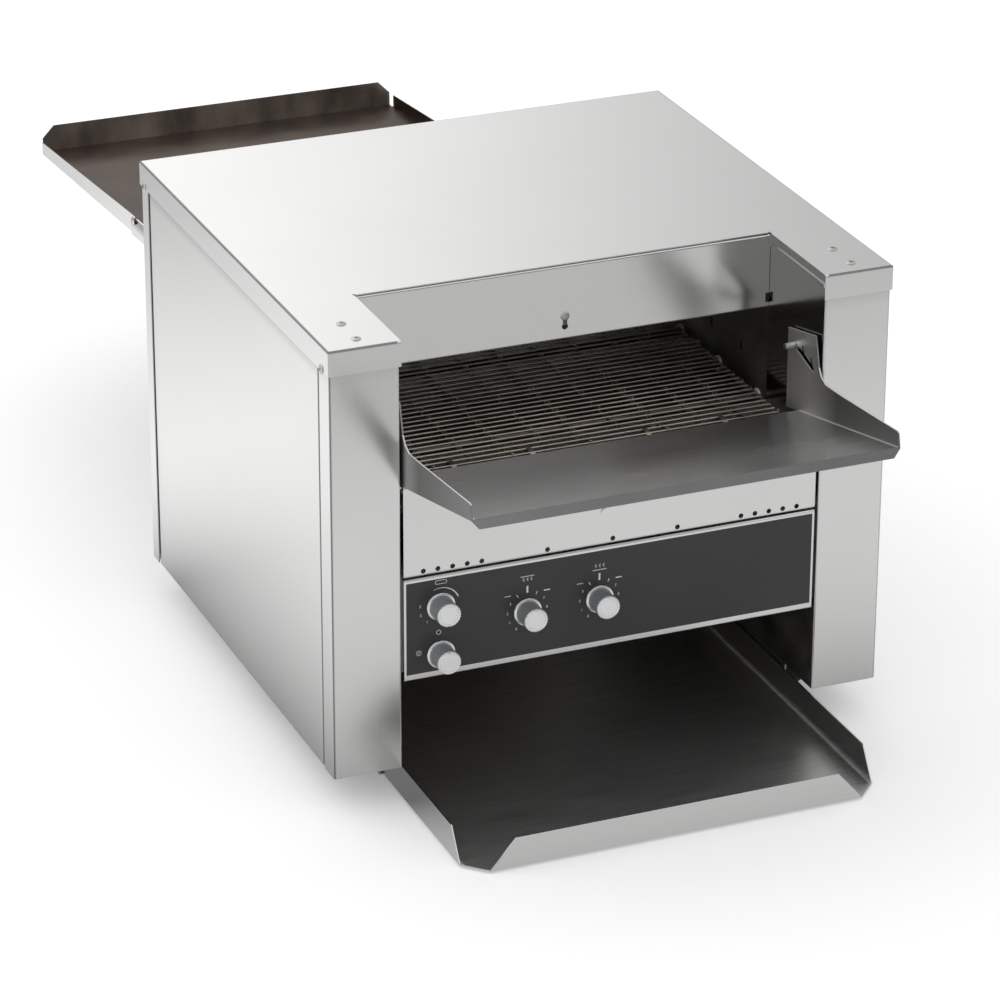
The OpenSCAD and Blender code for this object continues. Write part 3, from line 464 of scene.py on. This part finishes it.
def spun_aluminium(look):
    """Anodised aluminium disc, faced on a lathe: its fine turning rings draw the light out across the disc."""
    material, tree, surface = new_material("spun_aluminium", metallic=1.0)
    rings = add_node(tree, "TexWave", {"wave_type": "RINGS", "rings_direction": "Z"}, {
        "Vector": add_node(tree, "TexCoord").outputs["Object"],
        "Scale": math.pi / 10 / look.groove,    # a wave of scale 1 repeats every pi / 10
    }).outputs["Fac"]
    feed(tree, surface, color=varied(tree, rings, shaded(look.face, 0.93), shaded(look.face), 0.0, 1.0),
         roughness=varied(tree, rings, 0.4, 0.46, 0.0, 1.0))
    bumped(tree, surface, rings, 0.01 * MM)
    return material


# ---------------------------------------------------------------- plastics, ceramic and ink


def moulded(name, color, roughness, grit=0.35 * MM, height=0.02 * MM):
    """Moulded plastic or rubber, with the fine texture of a spark-eroded mould, which scatters its highlights.

    The texture is drawn as coarse as it needs to show.
    """
    material, tree, surface = new_material(name)
    texture = noise(tree, grit, 2.0)
    feed(tree, surface, color=varied(tree, texture, shaded(color, 0.93), shaded(color, 1.05)))
    surface.inputs["Roughness"].default_value = roughness
    bumped(tree, surface, texture, height, 0.4)
    return material


def printed_film(look):
    """Polycarbonate film printed from behind: an even dark grey. Its fine matt grain is drawn as coarse as it
    needs to show."""
    material, tree, surface = new_material("printed_polycarbonate_film")
    grain = noise(tree, 0.5 * MM, 2.0)
    fade = noise(tree, 90 * MM, 1.0, 3.0)
    feed(tree, surface, color=varied(tree, fade, shaded(look.film, 0.92), shaded(look.film, 1.06)),
         roughness=varied(tree, grain, 0.38, 0.46))
    surface.inputs["IOR"].default_value = 1.45    # polycarbonate's 1.58, less what the matt face takes from its gloss
    bumped(tree, surface, grain, 0.01 * MM, 0.3)
    return material


def screen_ink(look):
    """Screen-printed ink: pale, flat and dull, a little thinner in places."""
    material, tree, surface = new_material("screen_printed_ink")
    feed(tree, surface, color=varied(tree, noise(tree, 2 * MM), shaded(look.ink, 0.88), shaded(look.ink)))
    surface.inputs["Roughness"].default_value = 0.6
    return material


# ---------------------------------------------------------------- pieces

RING, GRIP, FACE = 0, 1, 2    # a knob's finishes
KNOB_PROFILE = (    # height and radius in mm, and the finish of the band that ends there, from the foot to the face
    (0, 0, RING), (0, 14.3, RING), (1.4, 14.3, RING), (1.9, 14.0, RING), (2.2, 13.2, RING), (2.5, 12.1, RING),
    (2.6, 11.5, GRIP), (3.3, 11.3, GRIP), (12, 11.5, GRIP), (20.9, 11.7, GRIP),
    (21.1, 12.0, RING), (21.9, 12.0, RING), (22.3, 11.7, RING), (22.4, 10.9, RING),
    (21.9, 10.5, FACE), (21.9, 9.5, FACE), (21.5, 9.3, FACE), (21.5, 8.8, FACE), (21.9, 8.5, FACE), (22.0, 0, FACE),
)
FLUTED_ROWS = (10, 11, 12)    # the rows of the profile that have flutes and a notch
KNOB_STEPS = 180
NOTCH_HALF = 5.5    # degrees
SOFT_ANGLE = math.radians(30)    # edges that turn less than this look smooth
KNOBS = {    # each knob's body, and where its notch stands, in degrees from the right
    "speed_knob": ("speed_dial", 270),
    "power_knob": ("power_dial", 90),
    "upper_heat_knob": ("upper_heat_dial", 90),
    "lower_heat_knob": ("lower_heat_dial", 90),
}

CAP_SHARE = 0.72    # height of a figure in the built-in typeface, for a size of 1
HEAT_NUMBERS = 11    # 0 to 10
HEAT_START, HEAT_TURN = 236, -29    # degrees: where a heat dial's 0 stands, and from one number to the next
HEAT_TOP = 5    # a bar takes the place of this number, and a tick that of each beside it
HEAT_DASHES = (((-20, 19), 1.2), ((20, 19), 2.4))    # low and high: mm from the knob's axis, and width in lines
DASH_HALF = 3.2 * MM
TOP_BAR_LENGTH, TOP_BAR_WIDTH = 7 * MM, 1.8 * MM
HEAT_SIGN = Vector((0, 33.5)) * MM    # the middle of a heat dial's sign, from the knob's axis
HOT_BAR_RISE, HOT_BAR_HALF = 3.2 * MM, 7 * MM
WAVES = (-4 * MM, 0, 4 * MM)    # where the waves of the sign stand
WAVE_SWAY, WAVE_LENGTH = 0.7 * MM, 2.2 * MM
ARC_STEPS = 18
ARC_START, ARC_TURN = 112, -5    # degrees: where the speed dial's arc starts, and from one step to the next
SPEED_NUMBERS = (("1", (-13.5, -14.2)), ("2", (-19.9, -6.4)), ("3", (-20.6, 2.8)))    # mm from the knob's axis
SPEED_SIGN = Vector((0.5, 25)) * MM    # the middle of the speed dial's sign, from the knob's axis
ROLLER_REACH, ROLLER_RADIUS = 4 * MM, 1.8 * MM    # the sign's rollers, either side of its middle
POWER_OFF, POWER_ON = Vector((-2, 22.7)) * MM, Vector((-22, 4.3)) * MM    # the two signs, from the knob's axis


def finish_nodes(material, *names):
    """Gives CAD nodes a material in place of the plain one that they were packed with."""
    for name in names:
        for slot in nodes[name].material_slots:
            slot.material = material


def new_piece(name, mesh, body, materials, turn=Matrix()):
    """Makes a mesh a piece that rides on a body, with the materials given to it."""
    piece = bpy.data.objects.new(name, mesh)
    piece.matrix_world = turn
    bpy.context.scene.collection.objects.link(piece)
    for material in materials:
        mesh.materials.append(material)
    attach(piece, body)
    return piece


def turned_mesh(name, profile, steps, radius_at):
    """Mesh of a form turned round z, from its profile's heights, radii and finishes."""
    build = bmesh.new()
    rings = []
    for row, (height, radius, _) in enumerate(profile):
        angles = [2 * math.pi * step / steps for step in range(steps if radius else 1)]
        radii = [radius_at(row, angle, radius * MM) for angle in angles]
        rings.append([build.verts.new((r * math.cos(angle), r * math.sin(angle), height * MM))
                      for angle, r in zip(angles, radii)])
    for low, high, (_, _, finish) in zip(rings, rings[1:], profile[1:]):
        for step in range(steps):
            after = (step + 1) % steps
            corners = (low[step % len(low)], low[after % len(low)], high[after % len(high)], high[step % len(high)])
            face = build.faces.new(list(dict.fromkeys(corners)))    # three corners where a ring is a point
            face.material_index = finish
            face.smooth = True
    bmesh.ops.recalc_face_normals(build, faces=build.faces)
    for edge in build.edges:
        edge.smooth = edge.calc_face_angle(0) < SOFT_ANGLE
    mesh = bpy.data.meshes.new(name)
    build.to_mesh(mesh)
    build.free()
    return mesh


def knob_axis(name):
    """Where a knob's axis crosses the panel: x and height."""
    low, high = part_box(name)
    return Vector(((low.x + high.x) / 2, (low.z + high.z) / 2))


def knob_radius(look, notch):
    """A knob's radius round its axis: fluted at the edge of the face, with one notch."""
    def radius_at(row, angle, radius):
        if row not in FLUTED_ROWS:
            return radius
        if abs((math.degrees(angle) - notch + 180) % 360 - 180) < NOTCH_HALF:
            return radius - look.notch_depth
        return radius - look.flute_depth * (0.5 - 0.5 * math.cos(look.flutes * angle))
    return radius_at


def around(centre, radius, degrees):
    """A point on a circle, in the plane of the panel."""
    angle = math.radians(degrees)
    return centre + radius * Vector((math.cos(angle), math.sin(angle)))


def printed_line(build, look, path, widths, closed=False):
    """Adds a thin raised line to a mesh, with a width at each point of its path."""
    count, rows = len(path), []
    low, high = -look.print_height / 4, look.print_height
    for i, point in enumerate(path):
        before = path[i - 1 if closed else max(i - 1, 0)]
        after = path[(i + 1) % count if closed else min(i + 1, count - 1)]
        along = (after - before).normalized()
        side = Vector((-along.y, along.x)) * widths[i] / 2
        rows.append([build.verts.new((*edge, z)) for edge, z in
                     ((point + side, low), (point - side, low), (point - side, high), (point + side, high))])
    for i in range(count if closed else count - 1):
        first, second = rows[i], rows[(i + 1) % count]
        for k in range(4):
            build.faces.new((first[k], first[(k + 1) % 4], second[(k + 1) % 4], second[k]))
    if not closed:
        build.faces.new(rows[0])
        build.faces.new(rows[-1][::-1])


def printed_bar(build, look, middle, reach, width):
    """Adds a straight line that reaches equally far to both sides of its middle."""
    printed_line(build, look, [middle - reach, middle + reach], [width] * 2)


def printed_number(build, look, text, middle):
    """Adds a number in the built-in typeface, as a thin solid centred on a point."""
    curve = bpy.data.curves.new("number", "FONT")
    curve.body, curve.size, curve.extrude = text, look.number / CAP_SHARE, look.print_height / 2
    curve.align_x, curve.align_y, curve.resolution_u = "CENTER", "CENTER", 3
    holder = bpy.data.objects.new("number", curve)
    bpy.context.scene.collection.objects.link(holder)
    solid = bpy.data.meshes.new_from_object(holder.evaluated_get(bpy.context.evaluated_depsgraph_get()))
    solid.transform(Matrix.Translation((*middle, look.print_height / 2)))
    build.from_mesh(solid)
    bpy.data.objects.remove(holder)
    bpy.data.curves.remove(curve)
    bpy.data.meshes.remove(solid)


def heat_dial(build, look, centre, hot_side):
    """Marks of a heat dial: numbers round the knob, a bar at the top of it, a thin and a thick dash for low and
    high, and a sign of three waves under a hot bar (hot_side 1) or over one (-1)."""
    for number in range(HEAT_NUMBERS):
        angle = HEAT_START + HEAT_TURN * number
        if abs(number - HEAT_TOP) == 1:
            tick = [around(centre, look.dial - 1 * MM, angle), around(centre, look.dial + look.tick, angle)]
            printed_line(build, look, tick, [look.line * 1.4] * 2)
        elif number != HEAT_TOP:
            printed_number(build, look, str(number), around(centre, look.dial + 0.6 * MM, angle))
    for spot, weight in HEAT_DASHES:
        printed_bar(build, look, centre + Vector(spot) * MM, Vector((DASH_HALF, 0)), look.line * weight)
    top = centre + Vector((0, look.dial))
    printed_line(build, look, [top, top + Vector((0, TOP_BAR_LENGTH))], [TOP_BAR_WIDTH] * 2)
    sign = centre + HEAT_SIGN
    printed_bar(build, look, sign + Vector((0, HOT_BAR_RISE * hot_side)), Vector((HOT_BAR_HALF, 0)), look.line * 1.3)
    foot = sign - Vector((0, WAVE_LENGTH / 2 + 0.6 * MM * hot_side))
    for offset in WAVES:    # each is a wave and a half, in eighths of a wave
        wave = [foot + Vector((offset + WAVE_SWAY * math.sin(math.pi * i / 4), WAVE_LENGTH * i / 8))
                for i in range(13)]
        printed_line(build, look, wave, [look.line] * len(wave))


def speed_dial(build, look, centre):
    """Marks of the speed dial: an arc that widens towards fast, three numbers, and a belt over two rollers."""
    shares = [i / ARC_STEPS for i in range(ARC_STEPS + 1)]
    arc = [around(centre, (18.7 + 0.5 * part) * MM, ARC_START + ARC_TURN * ARC_STEPS * part) for part in shares]
    printed_line(build, look, arc, [(0.3 + 1.1 * part) * MM for part in shares])
    for text, spot in SPEED_NUMBERS:
        printed_number(build, look, text, centre + Vector(spot) * MM)
    belt = [around(centre + SPEED_SIGN + Vector((side * ROLLER_REACH, 0)), ROLLER_RADIUS, start + 22.5 * i)
            for side, start in ((1, -90), (-1, 90)) for i in range(9)]
    printed_line(build, look, belt, [look.line] * len(belt), closed=True)


def power_dial(build, look, centre):
    """Marks of the power knob: a ring for off and a bar in a ring for on."""
    for spot, radius in ((POWER_OFF, 2.2 * MM), (POWER_ON, 2.4 * MM)):
        ring = [around(centre + spot, radius, 20 * i) for i in range(18)]
        printed_line(build, look, ring, [look.line] * len(ring), closed=True)
    printed_bar(build, look, centre + POWER_ON, Vector((0, 1.2 * MM)), look.line * 1.2)


# ---------------------------------------------------------------- studio

CAMERA_PLACE = Vector((-1.5765, -3.9933, 2.0339))
CAMERA_AIM = Vector((0.34922, 0.84016, -0.41495))
CAMERA_ROLL = math.radians(0.182)
SENSOR_WIDTH = 36    # mm
CLIP_END = 50
KEY_PLACE = Vector((-2.2, 1.2, 2.6))
KEY_AIM = Vector((0.0, 0.0, 0.2))
WHITE, BLACK = rgba("ffffff"), rgba("000000")
CARDS = {    # y, the span along x, the span along z, and the brightness: from x, to x, its first and last level
    "back_card": (4.0, (-4.0, 7.0), (0.4, 5.0), (0.7, 2.8, 1.5, 0.66)),    # a gradient for the cover's top
    "low_card": (3.9, (-4.0, 7.0), (0.0, 1.15), (0.4, 2.2, 0.3, 0.16)),    # a dark field for the shelf
    "front_card": (-4.0, (-2.0, 6.0), (0.0, 1.0), (0.75, 1.2, 0.48, 0.18)),    # a darker right end for its lip
}
FLOOR_REACH = 0.13    # over this distance, the painted shadow round the toaster on the mirrored floor falls to a third
FLOOR_EDGE = 0.025    # added to the distance, so that the floor isn't quite black at the toaster's foot
FLOOR_LEVELS = (    # from y, to y, and the level before and after: the three are added up
    (-1.6, -1.1, 0.68, 0.95),    # in front
    (-0.6, -0.42, 0.0, 0.36),    # beside, from the front corner back
    (0.4, 1.3, 0.0, -0.66),    # behind
)


def seen_factor(tree):
    """1 for what the camera sees directly, in a gloss or through glass, and 0 for light that falls on things."""
    path = add_node(tree, "LightPath").outputs
    return combined(tree, "MAXIMUM", path["Is Camera Ray"], path["Is Glossy Ray"], path["Is Transmission Ray"])


def make_sky(scene, look):
    """White all round, and a softer white for the light that it sheds."""
    world = bpy.data.worlds.new("studio_sky")
    scene.world = world
    world.use_nodes = True
    tree = world.node_tree
    tree.nodes.clear()
    lit = add_node(tree, "Background", inputs={"Color": WHITE, "Strength": look.sky})
    seen = add_node(tree, "Background", inputs={"Color": WHITE, "Strength": 1.0})
    both = add_node(tree, "MixShader", inputs={0: seen_factor(tree), 1: lit.outputs[0], 2: seen.outputs[0]})
    add_node(tree, "OutputWorld", inputs={"Surface": both.outputs[0]})


def matt_glow(name, color):
    """A material without gloss that can shine white by itself."""
    material, tree, surface = new_material(name)
    surface.inputs["Base Color"].default_value = color
    surface.inputs["Roughness"].default_value = 1.0
    surface.inputs["Specular IOR Level"].default_value = 0.0
    surface.inputs["Emission Color"].default_value = WHITE
    return material, tree, surface


def stage_plane(name, corners, material):
    """A flat piece of the studio, which is no part of the toaster."""
    mesh = bpy.data.meshes.new(name)
    mesh.from_pydata(corners, [], [(0, 1, 2, 3)])
    mesh.materials.append(material)
    plane = bpy.data.objects.new(name, mesh)
    bpy.context.scene.collection.objects.link(plane)
    return plane


def beyond(tree, value, low, high):
    """How far a number lies outside a range, or 0 inside it."""
    from_middle = unsigned(tree, combined(tree, "SUBTRACT", value, (low + high) / 2))
    return combined(tree, "MAXIMUM", combined(tree, "SUBTRACT", from_middle, (high - low) / 2), 0.0)


def reflected_floor(tree):
    """How bright the sheets show the floor, a painted pattern of light and shadow: dim close to the toaster, bright
    beside it, and dim again far behind.
    """
    x, y, _ = place(tree)
    outside = [beyond(tree, x, cad_box[0][0], cad_box[1][0]), beyond(tree, y, COVER_LOW.y, COVER_HIGH.y)]
    squares = combined(tree, "ADD", *[combined(tree, "MULTIPLY", part, part) for part in outside])
    away = combined(tree, "ADD", combined(tree, "POWER", squares, 0.5), FLOOR_EDGE)
    fall = combined(tree, "MULTIPLY", away, -1 / FLOOR_REACH)
    shade = add_node(tree, "Math", {"operation": "EXPONENT"}, {0: fall}).outputs[0]
    level = combined(tree, "ADD", *[varied(tree, y, first, last, start, end)
                                    for start, end, first, last in FLOOR_LEVELS])
    return combined(tree, "MULTIPLY", level, combined(tree, "SUBTRACT", 1.0, shade))


def make_floor(look):
    """A pale matt floor that takes the toaster's shadow. The sheets see its pattern of light in its place."""
    material, tree, surface = matt_glow("studio_floor", look.floor)
    lift = combined(tree, "MULTIPLY", seen_factor(tree), look.floor_lift)
    tree.links.new(lift, surface.inputs["Emission Strength"])
    shown = surface.outputs[0].links[0].to_socket
    mirrored = add_node(tree, "Emission", inputs={"Strength": reflected_floor(tree)})
    both = add_node(tree, "MixShader", inputs={
        0: add_node(tree, "LightPath").outputs["Is Glossy Ray"], 1: surface.outputs[0], 2: mirrored.outputs[0]})
    tree.links.new(both.outputs[0], shown)
    half = look.floor_size / 2
    stage_plane("studio_floor", [(-half, -half, 0), (half, -half, 0), (half, half, 0), (-half, half, 0)], material)


def make_card(name, y, span, heights, brightness):
    """An upright card that only gloss shows: its brightness runs along x from one level to another."""
    material, tree, surface = matt_glow(name, BLACK)
    start, end, first, last = brightness
    level = add_node(tree, "MapRange", {"interpolation_type": "SMOOTHSTEP"}, {
        "Value": place(tree)[0], "From Min": start, "From Max": end, "To Min": first, "To Max": last})
    tree.links.new(level.outputs[0], surface.inputs["Emission Strength"])
    (left, right), (bottom, top) = span, heights
    card = stage_plane(name, [(left, y, bottom), (left, y, top), (right, y, top), (right, y, bottom)], material)
    card.visible_camera = card.visible_diffuse = card.visible_shadow = card.visible_transmission = False


def make_key_lamp(look):
    """The main lamp: a large soft square, up and to the left, a little behind."""
    lamp = bpy.data.lights.new("key_lamp", "AREA")
    lamp.energy = look.key_power
    lamp.size = look.key_size
    holder = bpy.data.objects.new("key_lamp", lamp)
    bpy.context.scene.collection.objects.link(holder)
    holder.location = KEY_PLACE
    holder.rotation_euler = (KEY_AIM - KEY_PLACE).to_track_quat("-Z", "Y").to_euler()


def make_camera(scene, look):
    """A long lens, up and to the left of the front."""
    camera = bpy.data.cameras.new("camera")
    camera.lens = look.lens
    camera.sensor_width = SENSOR_WIDTH
    camera.clip_end = CLIP_END
    holder = bpy.data.objects.new("camera", camera)
    scene.collection.objects.link(holder)
    turn = CAMERA_AIM.to_track_quat("-Z", "Y").to_matrix() @ Matrix.Rotation(CAMERA_ROLL, 3, "Z")
    holder.matrix_world = Matrix.Translation(CAMERA_PLACE) @ turn.to_4x4()
    scene.camera = holder


# ---------------------------------------------------------------- operators


class TOASTER_OT_studio(bpy.types.Operator):
    """Builds the pale floor, the lights and the camera."""

    bl_idname = "toaster.studio"
    bl_label = "Studio"

    def execute(self, context):
        look = context.scene.toaster_studio
        context.scene.view_settings.view_transform = "Standard"
        make_sky(context.scene, look)
        make_floor(look)
        for name, card in CARDS.items():
            make_card(name, *card)
        make_key_lamp(look)
        make_camera(context.scene, look)
        return {"FINISHED"}


class TOASTER_OT_sheet_metal(bpy.types.Operator):
    """Gives the housing, the panel frame and the shelf their satin steel."""

    bl_idname = "toaster.sheet_metal"
    bl_label = "Sheet metal"

    def execute(self, context):
        look = context.scene.toaster_sheet
        finish_nodes(satin_stainless(look, ALONG_X, "stainless_ground_across"),
                     "top_cover", "front_fascia", "control_panel", "rear_panel")
        # the sheets below get a painted shade under the cover's flange
        finish_nodes(satin_stainless(look, ALONG_Y, "stainless_ground_front_to_back", under_cover=0.7),
                     "left_side_panel", "right_side_panel", "base_pans", "control_housing")
        finish_nodes(satin_stainless(look, ALONG_Z, "stainless_ground_upright", under_cover=0.88),
                     "left_cheek", "right_cheek")
        # Polished header: glossier than the rest, so it mirrors the shelf and the recess more clearly
        finish_nodes(satin_stainless(look, ALONG_X, "stainless_polished", 1.04, look.header, polished=True),
                     "header_plate")
        finish_nodes(shelf_stainless(look, "stainless_loading_shelf"), "loading_shelf")
        return {"FINISHED"}


class TOASTER_OT_trays(bpy.types.Operator):
    """Gives the discharge tray and the rear tray their scuffed and browned steel, and what carries them its own."""

    bl_idname = "toaster.trays"
    bl_label = "Trays"

    def execute(self, context):
        look, fitting = context.scene.toaster_sheet, context.scene.toaster_fitting
        finish_nodes(scuffed_stainless(look, "stainless_scuffed"), "discharge_tray")
        finish_nodes(browned_stainless(look, context.scene.toaster_inner, "stainless_browned"), "rear_tray")
        # Arms out of the toaster's heat: bare stainless steel, made the palest of it with painted light
        finish_nodes(satin_stainless(look, ALONG_Y, "stainless_arm", 1.4, 0.3), "rear_tray_arms")
        # Zinc plating: grey and even, with a soft sheen
        finish_nodes(plain_metal("zinc_plated_steel", fitting.zinc, 0.38),
                     "tray_runners", "crumb_runners", "belt_supports")
        return {"FINISHED"}


class TOASTER_OT_toasting_chamber(bpy.types.Operator):
    """Gives the belt, its drive and the heated inner sheets their worn metals."""

    bl_idname = "toaster.toasting_chamber"
    bl_label = "Toasting chamber"

    def execute(self, context):
        look, fitting = context.scene.toaster_inner, context.scene.toaster_fitting
        # Sheet stained by heat: brown grey and nearly matt. The corner posts take it too, which darkens the gaps in
        # front of them with painted shade
        finish_nodes(heat_darkened(look, "heat_stained_sheet", look.soot, 0.5),
                     "left_inner_wall", "right_inner_wall", "return_chute", "lower_reflector", "upper_reflector",
                     "crumb_tray", "corner_posts")
        # Wire under a brown oxide: glossier than the sheets, so that a thin highlight runs along each strand
        finish_nodes(heat_darkened(look, "oxidised_wire", look.wire, 0.36),
                     "conveyor_belt", "drive_sprockets", "idler_sprockets")
        # Turned shafts: bright, with fairly sharp highlights along them
        finish_nodes(plain_metal("turned_steel", fitting.shaft, 0.22), "drive_shaft", "idler_shaft")
        # Chain steel: darker, with the wet gloss of its oil
        finish_nodes(plain_metal("oiled_chain_steel", fitting.chain, 0.3),
                     "drive_chain", "motor_sprocket", "chain_sprocket")
        # Sintered bronze: brown gold and dull, because it is full of pores
        finish_nodes(plain_metal("sintered_bronze", fitting.bronze, 0.4), "shaft_bearings")
        # Rod sheaths: dark and nearly matt, from glowing in air
        finish_nodes(plain_metal("oxidised_rod_sheath", fitting.sheath, 0.5), "upper_elements", "lower_elements")
        # Steatite, fired and unglazed: off-white and chalky
        finish_nodes(moulded("fired_steatite", fitting.ceramic, 0.55), "element_insulators", "terminal_block")
        # Painted casting: grey, with the broad soft skin of cast metal under paint
        finish_nodes(moulded("painted_casting", fitting.paint, 0.4, 2 * MM, 0.05 * MM), "gearmotor")
        return {"FINISHED"}


class TOASTER_OT_fittings(bpy.types.Operator):
    """Gives the screws, studs, controls, fan, gland and feet their materials."""

    bl_idname = "toaster.fittings"
    bl_label = "Fittings"

    def execute(self, context):
        look = context.scene.toaster_fitting
        # Cold-headed stainless screws: duller than the sheet that they hold, so they show on it
        finish_nodes(plain_metal("bright_screw_steel", look.screw, 0.34),
                     "cover_screws", "header_screw", "shelf_studs")
        # Nylon: nearly black, with broad soft highlights
        finish_nodes(moulded("moulded_nylon", look.nylon, 0.45),
                     "speed_control", "power_switch", "upper_heat_control", "lower_heat_control", "fan_frame",
                     "fan_rotor", "cord_gland")
        # Turned brass: yellow and bright
        finish_nodes(plain_metal("turned_brass", look.brass, 0.25),
                     "speed_spindle", "power_spindle", "upper_heat_spindle", "lower_heat_spindle")
        # Rubber: black and dull, with a coarser skin than the plastics
        finish_nodes(moulded("moulded_rubber", look.rubber, 0.7, 0.8 * MM), "feet")
        return {"FINISHED"}


class TOASTER_OT_control_panel(bpy.types.Operator):
    """Gives the overlay its dark film and prints the dials' marks on it."""

    bl_idname = "toaster.control_panel"
    bl_label = "Control panel"

    def execute(self, context):
        look = context.scene.toaster_panel
        finish_nodes(printed_film(look), "panel_overlay")
        build = bmesh.new()
        speed_dial(build, look, knob_axis("speed_knob"))
        power_dial(build, look, knob_axis("power_knob"))
        heat_dial(build, look, knob_axis("upper_heat_knob"), 1)
        heat_dial(build, look, knob_axis("lower_heat_knob"), -1)
        bmesh.ops.recalc_face_normals(build, faces=build.faces)
        mesh = bpy.data.meshes.new("dial_marks")
        build.to_mesh(mesh)
        build.free()
        mesh.transform(Matrix.Translation((0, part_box("panel_overlay")[0].y, 0)) @ TO_FRONT)
        new_piece("dial_marks", mesh, "root", [screen_ink(look)])
        return {"FINISHED"}


class TOASTER_OT_knobs(bpy.types.Operator):
    """Builds the four knobs: bright rings at foot and face, a tapering grip and a fluted aluminium face."""

    bl_idname = "toaster.knobs"
    bl_label = "Knobs"

    def execute(self, context):
        look = context.scene.toaster_knob
        # ABS: a mid grey grip with a soft, even sheen
        grip = moulded("moulded_abs", look.grip, 0.34)
        # Satin chrome: the palest metal on the front, with soft-edged reflections
        ring = plain_metal("satin_chrome_plate", look.ring, 0.24)
        face = spun_aluminium(look)
        finish_nodes(grip, *KNOBS)
        for name, (body, notch) in KNOBS.items():
            mesh = turned_mesh(name + "_turned", KNOB_PROFILE, KNOB_STEPS, knob_radius(look, notch))
            across, height = knob_axis(name)
            foot = Matrix.Translation((across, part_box(name)[1].y, height)) @ TO_FRONT
            knob = new_piece(name + "_turned", mesh, body, [ring, grip, face], foot)
            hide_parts(name)
        return {"FINISHED"}


OPERATORS = [
    TOASTER_OT_studio,
    TOASTER_OT_sheet_metal,
    TOASTER_OT_trays,
    TOASTER_OT_toasting_chamber,
    TOASTER_OT_fittings,
    TOASTER_OT_control_panel,
    TOASTER_OT_knobs,
]


class TOASTER_PT_finish(bpy.types.Panel):
    """Lists the toaster's operators and their settings."""

    bl_idname = "TOASTER_PT_finish"
    bl_label = "Conveyor toaster"
    bl_space_type = "VIEW_3D"
    bl_region_type = "UI"
    bl_category = "Toaster"

    def draw(self, context):
        for operator in OPERATORS:
            self.layout.operator(operator.bl_idname)
        for name, group in SETTINGS.items():
            box = self.layout.box()
            for setting in group.__annotations__:
                box.prop(getattr(context.scene, name), setting)


def register():
    for kind in [*SETTINGS.values(), *OPERATORS, TOASTER_PT_finish]:
        bpy.utils.register_class(kind)
    for name, group in SETTINGS.items():
        setattr(bpy.types.Scene, name, PointerProperty(type=group))


def unregister():
    for name in SETTINGS:
        delattr(bpy.types.Scene, name)
    for kind in reversed([*SETTINGS.values(), *OPERATORS, TOASTER_PT_finish]):
        bpy.utils.unregister_class(kind)


def main():
    register()
    bpy.ops.toaster.studio()
    bpy.ops.toaster.sheet_metal()
    bpy.ops.toaster.trays()
    bpy.ops.toaster.toasting_chamber()
    bpy.ops.toaster.fittings()
    bpy.ops.toaster.control_panel()
    bpy.ops.toaster.knobs()


if __name__ == "__main__":
    main()
